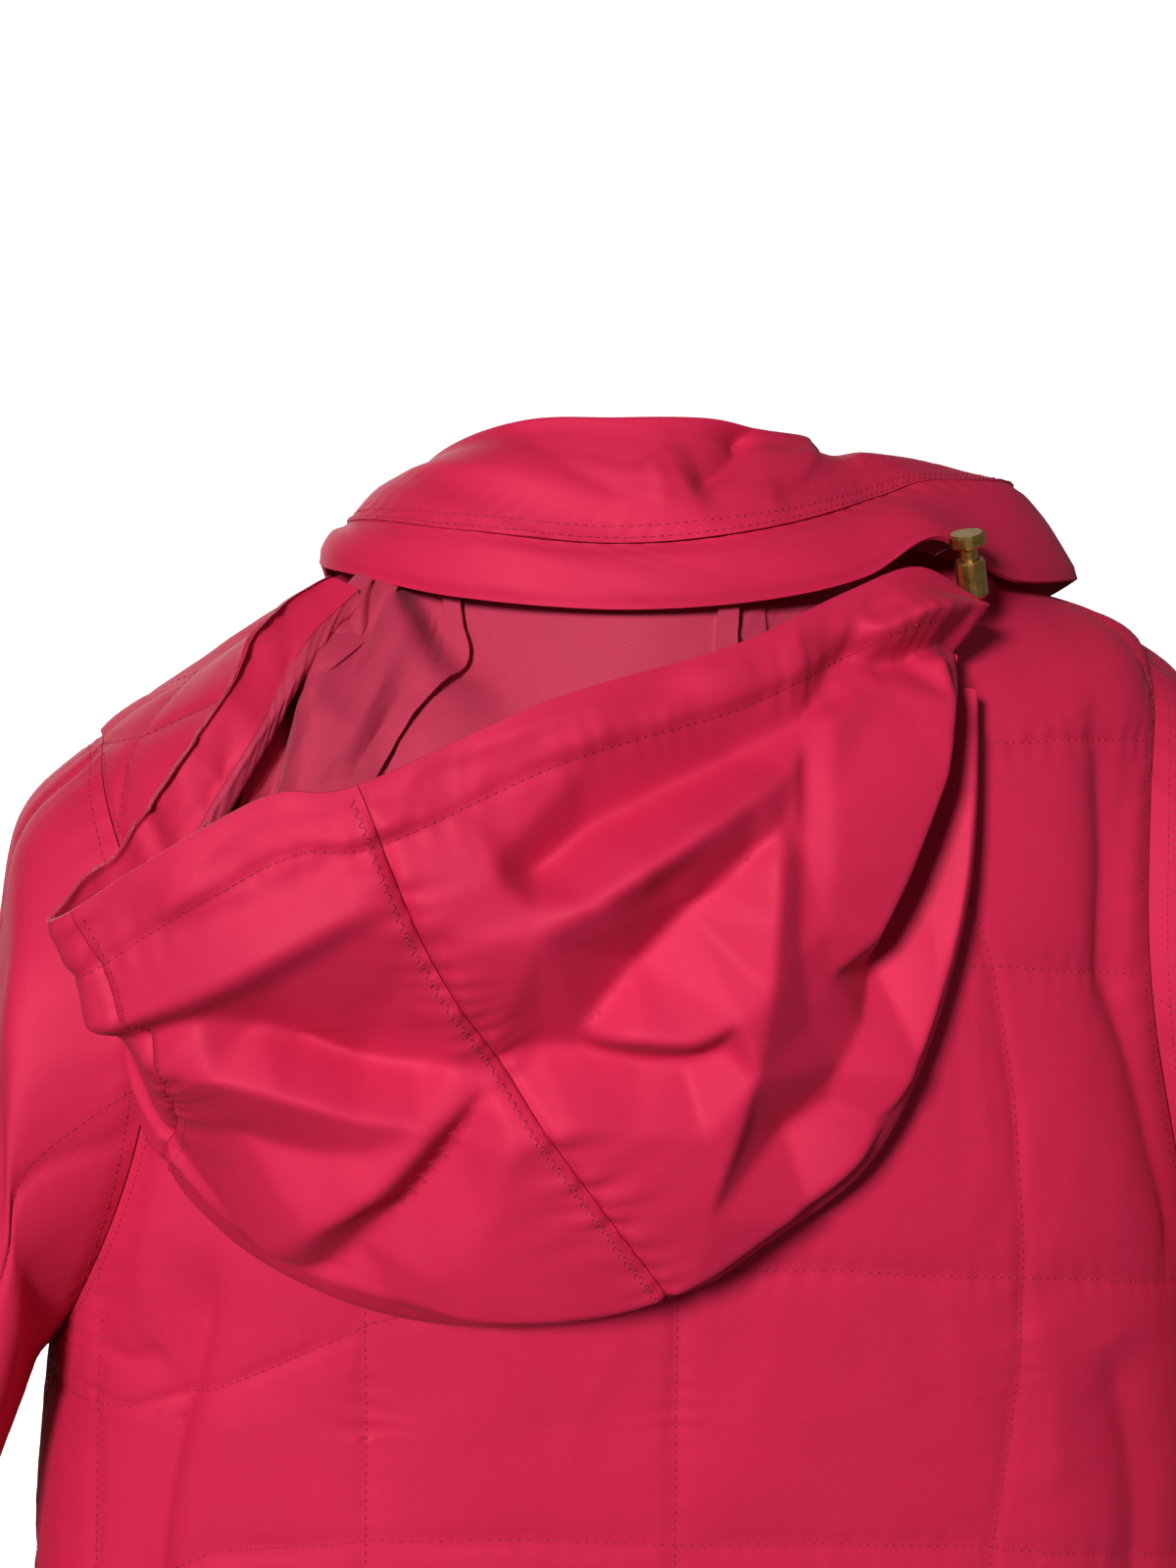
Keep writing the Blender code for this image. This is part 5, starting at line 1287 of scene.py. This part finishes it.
def make_lining(materials):
    """The hood's lining in three pieces and the tapes over its seams."""
    grid, columns = CLOTH["hood"], CLOTH["hood_columns"]
    under = under_hood(grid, HOOD_WALL + LAYER_GAP)
    rows = np.arange(under.points.shape[0], dtype=float)[:, None]
    inner = smooth((rows - HOOD_SPANS[0] - HOOD_SPANS[1] - 12) / 20)
    x, z = grid.points[..., 0], grid.points[..., 2]
    left = smooth((x - 0.045) / 0.02) * smooth((0.145 - x) / 0.02 + 0.3)
    lift = 1.15 * soften(flat_faces(x, z, LINING_RELIEF), 2) * inner
    lift += 0.0010 * crinkles(x * 60 - z * 30, x * 20 + z * 50, 701) * inner * left
    for seam in (columns["crown"].start, columns["crown"].stop - 1):
        off = grid.across - grid.across[:, seam:seam + 1]
        lift += 0.0004 * gathers(grid.up, off, pitch=0.009, reach=0.006, seed=703) * inner
    under.points = under.points - grid.base_normals * np.maximum(lift, 0)[..., None]
    under.normals = under.outward()
    for name, chosen in columns.items():
        piece = under.part(rows=slice(CASING_STEPS, None), columns=chosen)
        for edge in ("bottom", *HOOD_SEAM_EDGES[name]):
            piece.draw_back(edge, SEAM_GAP / 2)
        item = lining_piece(f"lining_{name}_cloth", piece, materials)
        show(item, piece, [f"lining_{name}"], held="draped")
    first = sum(HOOD_SPANS[:4]) + 10
    for name, seam in (("right", columns["crown"].start), ("left", columns["crown"].stop - 1)):
        half, count = TAPE_HALF_COLUMNS, 2 * TAPE_HALF_COLUMNS + 1
        strip = under.part(rows=slice(first, None), columns=slice(seam - half, seam + half + 1))
        middle, out = strip.points[:, half:half + 1], strip.base_normals[:, half:half + 1]
        off = np.linspace(-1, 1, count)[None, :, None] * TAPE_HALF_WIDTH
        strip.points = middle + unit(strip.points[:, -1:] - strip.points[:, :1]) * off
        raised = LINING_WALL + LAYER_GAP * 2.5 + TAPE_RAISE
        strip.points = strip.points - out * raised
        strip.base = strip.points.copy()
        strip.base_normals = np.repeat(out, count, axis=1)
        item = lining_piece(f"lining_tape_{name}_cloth", strip, materials, step=1)
        show(item, strip, [f"lining_tape_{name}"], held="stretched")


def lining_piece(name, grid, materials, step=2):
    """A lining piece, whose fine side is the one that faces into the hood."""
    turned = grid.part()
    turned.points = grid.points - grid.base_normals * LINING_WALL
    turned.turn_over()
    return cloth_piece(name, turned, LINING_WALL, materials, inner_step=step)


# ---------------------------------------------------------------- stitches and teeth

def wired(tree):
    """Helpers that add a node and its outputs, feed inputs, and add a sum. An input is fed with
    a plain value or with the output of another node."""
    def feed(target, inputs):
        for name, value in inputs.items():
            if isinstance(value, bpy.types.NodeSocket):
                tree.links.new(value, target.inputs[name])
            else:
                target.inputs[name].default_value = value

    def node(kind, inputs=None, **settings):
        made = tree.nodes.new(kind)
        for name, value in settings.items():
            setattr(made, name, value)
        feed(made, inputs or {})
        return made.outputs

    def maths(operation, *values):
        return node("ShaderNodeMath", dict(enumerate(values)), operation=operation)["Value"]

    return node, feed, maths


def named_sockets(tree, inputs, outputs):
    """Give a tree its named inputs, with their defaults, and its named outputs."""
    for name, kind, default in inputs:
        item = tree.interface.new_socket(name=name, in_out="INPUT", socket_type="NodeSocket" + kind)
        if default is not None:
            item.default_value = default
    for name, kind in outputs:
        tree.interface.new_socket(name=name, in_out="OUTPUT", socket_type="NodeSocket" + kind)


def placing_tree(name, inputs, faces, turn_and_size):
    """A tree that sets small balls at an even pitch along lines, standing out of the cloth.

    faces is a ball's segments and rings. turn_and_size gives each ball its turn and its size.
    """
    tree = bpy.data.node_groups.new(name, "GeometryNodeTree")
    named_sockets(tree, (("Lines", "Geometry", None), *inputs, ("Material", "Material", None)),
                  (("Geometry", "Geometry"),))
    node, feed, maths = wired(tree)
    given = node("NodeGroupInput")
    curve = node("GeometryNodeMeshToCurve", {"Mesh": given["Lines"]})["Curve"]
    spaced = node("GeometryNodeResampleCurve", {"Curve": curve, "Length": given["Pitch"]},
                  mode="LENGTH")["Curve"]
    tangent = node("GeometryNodeInputTangent")["Tangent"]
    out = node("GeometryNodeInputNamedAttribute", {"Name": "out"}, data_type="FLOAT_VECTOR")
    lay = node("FunctionNodeAlignRotationToVector", {"Vector": tangent}, axis="X")["Rotation"]
    stand = node("FunctionNodeAlignRotationToVector", {"Rotation": lay, "Vector": out["Attribute"]},
                 axis="Z", pivot_axis="X")["Rotation"]
    turn, size = turn_and_size(node, maths, given, stand)
    ball = node("GeometryNodeMeshUVSphere",
                {"Segments": faces[0], "Rings": faces[1], "Radius": 0.5})["Mesh"]
    placed = node("GeometryNodeInstanceOnPoints", {"Points": spaced, "Instance": ball,
                                                   "Rotation": turn, "Scale": size})["Instances"]
    real = node("GeometryNodeRealizeInstances", {"Geometry": placed})["Geometry"]
    painted = node("GeometryNodeSetMaterial", {"Geometry": real, "Material": given["Material"]})
    feed(tree.nodes.new("NodeGroupOutput"), {"Geometry": painted["Geometry"]})
    return tree


def stitch_turn_and_size(node, maths, given, stand):
    """A stitch turns a little at random, and to each side by turns along a zigzag."""
    parity = maths("MODULO", node("GeometryNodeInputIndex")["Index"], 2.0)
    zigzag = maths("MULTIPLY", maths("MULTIPLY_ADD", parity, 2.0, -1.0), given["Zigzag Angle"])
    jitter = node("FunctionNodeRandomValue",
                  {"Min": -STITCH_JITTER, "Max": STITCH_JITTER, "Seed": given["Seed"]},
                  data_type="FLOAT")["Value"]
    swing = node("FunctionNodeAxisAngleToRotation",
                 {"Axis": (0, 0, 1), "Angle": maths("ADD", zigzag, jitter)})["Rotation"]
    turn = node("FunctionNodeRotateRotation", {"Rotation": stand, "Rotate By": swing},
                rotation_space="LOCAL")["Rotation"]
    width = given["Thread Width"]
    size = node("ShaderNodeCombineXYZ", {"X": given["Stitch Length"], "Y": width,
                                         "Z": maths("MULTIPLY", width, 0.8)})["Vector"]
    return turn, size


def stitch_tree():
    """Stitches laid end to end along curves, each turned to the cloth's outward direction."""
    inputs = (("Stitch Length", "Float", 0.0024), ("Pitch", "Float", 0.0032),
              ("Thread Width", "Float", 0.0005), ("Zigzag Angle", "Float", 0.0), ("Seed", "Int", 5))
    return placing_tree("Stitches Along Lines", inputs, (5, 3), stitch_turn_and_size)


def teeth_tree():
    """Zip teeth at an even pitch along curves, pointing away from the tape."""
    inputs = (("Pitch", "Float", 0.0026), ("Tooth Size", "Vector", None))
    return placing_tree("Zip Teeth", inputs, (8, 4),
                        lambda node, maths, given, stand: (stand, given["Tooth Size"]))


def grown_along(name, lines, tree, values, lift=0.0):
    """A plain mesh of what a tree grows along a set of lines."""
    vertices, edges, outs = [], [], []
    for points, normals in lines:
        start = len(vertices)
        vertices += (points + normals * lift).tolist()
        outs += normals.tolist()
        edges += [(start + k, start + k + 1) for k in range(len(points) - 1)]
    guide = bpy.data.meshes.new(name + "_guide")
    guide.from_pydata(vertices, edges, [])
    attribute = guide.attributes.new("out", "FLOAT_VECTOR", "POINT")
    attribute.data.foreach_set("vector", np.array(outs, dtype=np.float32).ravel())
    holder = link(name + "_guide", guide)
    modifier = holder.modifiers.new("Grow", "NODES")
    modifier.node_group = tree
    sockets = {item.name: item.identifier for item in tree.interface.items_tree
               if item.in_out == "INPUT"}
    for key, value in values.items():
        modifier[sockets[key]] = value
    graph = bpy.context.evaluated_depsgraph_get()
    mesh = bpy.data.meshes.new_from_object(holder.evaluated_get(graph), depsgraph=graph)
    mesh.name = name
    holder.modifiers.remove(modifier)
    bpy.data.objects.remove(holder, do_unlink=True)
    mesh.shade_smooth()
    return link(name, mesh)


# ---------------------------------------------------------------- materials

def weave_group():
    """Fine weave, slubs and cloth crinkles as a height, and slow colour change as a mask."""
    tree = bpy.data.node_groups.new("Woven Cloth", "ShaderNodeTree")
    named_sockets(tree, (("Threads", "Float", 9000.0), ("Weave", "Float", 0.3),
                         ("Crinkle Scale", "Float", 160.0), ("Crinkle", "Float", 0.5),
                         ("Patch Scale", "Float", 14.0)),
                  (("Height", "Float"), ("Patches", "Float"), ("Slubs", "Float")))
    node, feed, maths = wired(tree)
    given = node("NodeGroupInput")
    place = node("ShaderNodeUVMap", uv_map=UNWRAP)["UV"]
    split = node("ShaderNodeSeparateXYZ", {"Vector": place})
    warp, weft = (maths("SINE", maths("MULTIPLY", split[axis], given["Threads"])) for axis in "XY")
    weave = maths("MULTIPLY", maths("MULTIPLY", warp, weft), given["Weave"])
    crinkle = node("ShaderNodeTexNoise", {"Vector": place, "Scale": given["Crinkle Scale"],
                                          "Detail": 3.0, "Distortion": 0.6},
                   noise_dimensions="2D")["Fac"]
    patches = node("ShaderNodeTexNoise", {"Vector": place, "Scale": given["Patch Scale"],
                                          "Detail": 2.0}, noise_dimensions="2D")["Fac"]
    stretched = node("ShaderNodeMapping", {"Vector": place, "Scale": (1400.0, 260.0, 1.0)})
    slubs = node("ShaderNodeTexNoise", {"Vector": stretched["Vector"], "Scale": 1.0},
                 noise_dimensions="2D")["Fac"]
    feed(tree.nodes.new("NodeGroupOutput"),
         {"Height": maths("MULTIPLY_ADD", crinkle, given["Crinkle"], weave),
          "Patches": patches, "Slubs": slubs})
    return tree


def principled(name):
    """A new material with its shader and helpers for its tree."""
    material = bpy.data.materials.new(name)
    material.use_nodes = True
    node, feed, _ = wired(material.node_tree)
    return material, material.node_tree.nodes["Principled BSDF"], node, feed


def shade_of(colour, factor):
    """A colour made darker or lighter."""
    return tuple(min(1.0, c * factor) for c in colour[:3]) + (1.0,)


def two_shades(node, colour, dark, light, factor):
    """A colour that changes from a darker to a lighter shade of itself with a factor."""
    return node("ShaderNodeMix", {"A": shade_of(colour, dark), "B": shade_of(colour, light),
                                  "Factor": factor}, data_type="RGBA")["Result"]


def spread_over(node, value, low, high):
    """A value from 0 to 1 spread over a range."""
    return node("ShaderNodeMapRange", {"Value": value, "To Min": low, "To Max": high})["Result"]


def bumped(node, height, strength, distance):
    """The shading direction of a surface with a fine height on it."""
    return node("ShaderNodeBump", {"Height": height, "Strength": strength,
                                   "Distance": distance})["Normal"]


def cloth_material(name, colour, group, roughness, spread, gloss, sheen, weave, crinkle, bump):
    """Woven cloth: slow colour change, slubs, and a bump of threads and crinkles."""
    material, shader, node, feed = principled(name)
    cloth = node("ShaderNodeGroup", {"Weave": weave, "Crinkle": crinkle}, node_tree=group)
    change = two_shades(node, colour, 0.86, 1.12, cloth["Patches"])
    threads = node("ShaderNodeMix", {"Factor": 0.10, "A": change, "B": cloth["Slubs"]},
                   data_type="RGBA", blend_type="MULTIPLY")["Result"]
    feed(shader, {
        "Base Color": threads,
        "Roughness": spread_over(node, cloth["Patches"], roughness - spread, roughness + spread),
        "Metallic": gloss, "Specular IOR Level": 0.38, "Specular Tint": (1.0, 0.36, 0.46, 1.0),
        "Sheen Weight": sheen, "Sheen Roughness": 0.35, "Sheen Tint": (1.0, 0.45, 0.55, 1.0),
        "Normal": bumped(node, cloth["Height"], bump, 0.0006)})
    return material


def metal_material(name, colour):
    """Antique gold: browner in uneven patches, with a fine uneven bump."""
    material, shader, node, feed = principled(name)
    place = node("ShaderNodeTexCoord")["Object"]
    stain = node("ShaderNodeTexNoise", {"Vector": place, "Scale": 320.0, "Detail": 4.0})["Fac"]
    feed(shader, {"Base Color": two_shades(node, colour, 0.62, 1.15, stain), "Metallic": 1.0,
                  "Roughness": spread_over(node, stain, 0.22, 0.42),
                  "Normal": bumped(node, stain, 0.12, 0.0003)})
    return material


def thread_material(name, colour):
    """Polyester thread: a plain colour with a little gloss."""
    material, shader, node, feed = principled(name)
    place = node("ShaderNodeTexCoord")["Object"]
    noise = node("ShaderNodeTexNoise", {"Vector": place, "Scale": 90.0})["Fac"]
    feed(shader, {"Base Color": two_shades(node, colour, 0.8, 1.2, noise), "Roughness": 0.5})
    return material


MATERIALS = {}


def finishes():
    """All materials, made once from the colours in the sidebar."""
    if MATERIALS:
        return MATERIALS
    colours = bpy.context.scene.jacket_colours
    group = weave_group()
    MATERIALS["shell"] = cloth_material(
        "satin_shell", tuple(colours.shell), group, roughness=0.60, spread=0.05, gloss=0.05,
        sheen=0.03, weave=0.07, crinkle=0.3, bump=0.30)
    MATERIALS["lining"] = cloth_material(
        "rose_lining", tuple(colours.lining), group, roughness=0.60, spread=0.06, gloss=0.10,
        sheen=0.14, weave=0.2, crinkle=0.4, bump=0.35)
    MATERIALS["inside"] = cloth_material(
        "inner_lining", tuple(colours.inside), group, roughness=0.65, spread=0.05, gloss=0.10,
        sheen=0.12, weave=0.2, crinkle=0.4, bump=0.3)
    # The stitches take the darkened thread colour: painted shade along the stitched lines, over the
    # thread's own red.
    MATERIALS["thread"] = thread_material("thread", tuple(colours.thread))
    MATERIALS["zip_tape"] = thread_material("woven_zip_tape", shade_of(colours.shell, 0.75))
    MATERIALS["metal"] = metal_material("antique_gold", tuple(colours.metal))
    return MATERIALS


# ---------------------------------------------------------------- operators

class JACKET_OT_body(bpy.types.Operator):
    """Build the back and the two fronts"""
    bl_idname = "jacket.body"
    bl_label = "Body"

    def execute(self, context):
        cloth, made = context.scene.jacket_cloth, finishes()
        both = [made["shell"], made["inside"]]
        make_back(cloth, both)
        for sign in (1, -1):
            make_front(sign, cloth, both)
        return {"FINISHED"}


class JACKET_OT_sleeves(bpy.types.Operator):
    """Build the two sleeves"""
    bl_idname = "jacket.sleeves"
    bl_label = "Sleeves"

    def execute(self, context):
        made = finishes()
        for sign in (1, -1):
            make_sleeve(sign, context.scene.jacket_cloth, [made["shell"], made["inside"]])
        return {"FINISHED"}


class JACKET_OT_collar(bpy.types.Operator):
    """Build the collar's stand, fall and band"""
    bl_idname = "jacket.collar"
    bl_label = "Collar"

    def execute(self, context):
        make_collar(context.scene.jacket_cloth, [finishes()["shell"]])
        return {"FINISHED"}


class JACKET_OT_hood(bpy.types.Operator):
    """Build the hood's shell, casing, lining and tapes"""
    bl_idname = "jacket.hood"
    bl_label = "Hood"

    def execute(self, context):
        made = finishes()
        make_hood(context.scene.jacket_cloth, [made["shell"]])
        make_lining([made["lining"]])
        return {"FINISHED"}


class JACKET_OT_stitching(bpy.types.Operator):
    """Sew the quilting lines, the topstitching and the zigzag seam"""
    bl_idname = "jacket.stitching"
    bl_label = "Stitching"

    def execute(self, context):
        sewing = context.scene.jacket_sewing
        tree = stitch_tree()
        made = finishes()
        for kind, angle, pitch, length in (
                ("quilting", 0.0, sewing.stitch_pitch, sewing.stitch),
                ("topstitching", 0.0, sewing.stitch_pitch * 0.9, sewing.stitch * 0.95),
                ("zigzag", ZIGZAG_ANGLE, sewing.stitch_pitch * 0.5, sewing.stitch * 1.25)):
            values = {"Stitch Length": length, "Pitch": pitch, "Zigzag Angle": angle,
                      "Thread Width": sewing.thread_width, "Material": made["thread"]}
            item = grown_along(kind + "_stitches", SEWING_LINES[kind], tree, values,
                               lift=sewing.thread_width * 0.25)
            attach(item, "jacket")
        return {"FINISHED"}


class JACKET_OT_fastenings(bpy.types.Operator):
    """Finish the zip and the toggle, and set the zip's teeth"""
    bl_idname = "jacket.fastenings"
    bl_label = "Zip and Toggle"

    def execute(self, context):
        made = finishes()
        for name in ("zip_slider", "zip_pull", "toggle_barrel", "toggle_plunger"):
            dress(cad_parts[name], made["metal"])
        for name in ("zip_tape_left", "zip_tape_right"):
            dress(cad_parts[name], made["zip_tape"])
        sewing = context.scene.jacket_sewing
        values = {"Pitch": sewing.tooth_pitch, "Material": made["metal"],
                  "Tooth Size": (sewing.tooth_pitch * 0.62, 0.0030, 0.0018)}
        teeth = grown_along("zip_teeth", tape_lines(), teeth_tree(), values)
        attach(teeth, "jacket")
        return {"FINISHED"}


def tape_lines():
    """Where the teeth stand on the two tapes: locked together up to the slider, apart above it."""
    lines = []
    for sign, first in ((1, 0.02), (-1, 0.04)):
        rows = np.linspace(first, NECK_ROW - 0.25, 240)
        width, power = picked(spline(TORSO, rows), TORSO_COLUMNS, "half_width", "power")
        height = torso_points(rows * 0 + np.pi, rows)[:, 2]
        off = 0.0011 + 0.0009 * smooth((height - SLIDER_Z) / 0.02)
        angle = np.pi - np.arcsin((off / (width * CM)) ** (power / 2))
        points = torso_points(sign * angle, rows)
        along = np.gradient(points, axis=0)
        normals = unit(np.cross(along, np.array((-1.0, 0.0, 0.0))))
        normals *= -np.sign(normals[:, 1:2].mean())
        lines.append((points - normals * TEETH_DEPTH, normals))
    return lines


def dress(node, material):
    """Give a CAD node one material all over."""
    node.data.materials.clear()
    node.data.materials.append(material)


class JACKET_OT_studio(bpy.types.Operator):
    """Set the floor, the lights, the camera and the plain background"""
    bl_idname = "jacket.studio"
    bl_label = "Studio"

    def execute(self, context):
        build_studio(context.scene)
        return {"FINISHED"}


def aim(item, target):
    """Turn a camera or a lamp so that it looks at a point."""
    way = Vector(target) - item.location
    item.rotation_euler = way.to_track_quat("-Z", "Y").to_euler()


def add_lamp(scene, name, kind, place, target, **settings):
    """A lamp with its settings, aimed at a point."""
    lamp = bpy.data.lights.new(name, kind)
    for key, value in settings.items():
        setattr(lamp, key, value)
    item = bpy.data.objects.new(name, lamp)
    scene.collection.objects.link(item)
    item.location = place
    aim(item, target)
    return item


def build_studio(scene):
    """Pale floor, broad soft light from above and behind the camera, and the camera."""
    mesh = bpy.data.meshes.new("studio_floor")
    reach, depth = 400.0, -0.95
    mesh.from_pydata([(-reach, -reach, depth), (reach, -reach, depth), (reach, reach, depth),
                      (-reach, reach, depth)], [], [(0, 1, 2, 3)])
    floor = link("studio_floor", mesh)
    material, shader, _, _ = principled("pale_floor")
    shader.inputs["Base Color"].default_value = (0.9, 0.9, 0.9, 1.0)
    shader.inputs["Roughness"].default_value = 0.9
    shader.inputs["Emission Color"].default_value = (1.0, 1.0, 1.0, 1.0)
    shader.inputs["Emission Strength"].default_value = 0.70
    mesh.materials.append(material)
    floor.visible_diffuse = False
    floor.visible_glossy = False

    world = bpy.data.worlds.new("studio_air")
    world.use_nodes = True
    world.node_tree.nodes["Background"].inputs["Color"].default_value = (1, 1, 1, 1)
    world.node_tree.nodes["Background"].inputs["Strength"].default_value = 0.11
    scene.world = world
    target = (0.0, 0.05, -0.10)
    add_lamp(scene, "key", "SUN", (0.74, 1.50, 0.60), target, energy=3.95, angle=math.radians(10))
    add_lamp(scene, "soft_side", "AREA", (-1.3, 0.9, 0.7), target, energy=0.6, size=0.9)
    add_lamp(scene, "front_fill", "AREA", (0.3, -2.0, 0.1), target, energy=20.0, size=1.6)

    camera = bpy.data.cameras.new("camera")
    camera.sensor_fit = "VERTICAL"
    camera.sensor_height = 24.0
    camera.lens = 49.5
    camera.clip_start = 0.02
    view = bpy.data.objects.new("camera", camera)
    scene.collection.objects.link(view)
    view.location = (0.18267, 1.07235, 0.18429)
    aim(view, (0.0157023, 0.0181694, -0.0818294))
    scene.camera = view
    scene.view_settings.view_transform = "Standard"


class JACKET_PT_sidebar(bpy.types.Panel):
    """Colours, sizes and one button for each group of pieces"""
    bl_label = "Quilted Jacket"
    bl_idname = "JACKET_PT_sidebar"
    bl_space_type = "VIEW_3D"
    bl_region_type = "UI"
    bl_category = "Jacket"

    def draw(self, context):
        layout = self.layout
        for name in ("jacket_colours", "jacket_cloth", "jacket_sewing"):
            group = getattr(context.scene, name)
            box = layout.box()
            for key in group.bl_rna.properties.keys():
                if key not in ("rna_type", "name"):
                    box.prop(group, key)
        for operator in OPERATORS:
            layout.operator(operator.bl_idname)


OPERATORS = (JACKET_OT_body, JACKET_OT_sleeves, JACKET_OT_collar, JACKET_OT_hood,
             JACKET_OT_fastenings, JACKET_OT_stitching, JACKET_OT_studio)
GROUPS = {"jacket_colours": JacketColours, "jacket_cloth": JacketCloth,
          "jacket_sewing": JacketSewing}


def register():
    """Add the settings, the operators and the sidebar."""
    for kind in (*GROUPS.values(), *OPERATORS, JACKET_PT_sidebar):
        bpy.utils.register_class(kind)
    for name, kind in GROUPS.items():
        setattr(bpy.types.Scene, name, bpy.props.PointerProperty(type=kind))


def unregister():
    """Remove what register added."""
    for name in GROUPS:
        delattr(bpy.types.Scene, name)
    for kind in reversed((*GROUPS.values(), *OPERATORS, JACKET_PT_sidebar)):
        bpy.utils.unregister_class(kind)


def main():
    """Build the jacket piece by piece."""
    register()
    bpy.ops.jacket.body()
    bpy.ops.jacket.sleeves()
    bpy.ops.jacket.collar()
    bpy.ops.jacket.hood()
    bpy.ops.jacket.fastenings()
    bpy.ops.jacket.stitching()
    bpy.ops.jacket.studio()


if __name__ == "__main__":
    main()
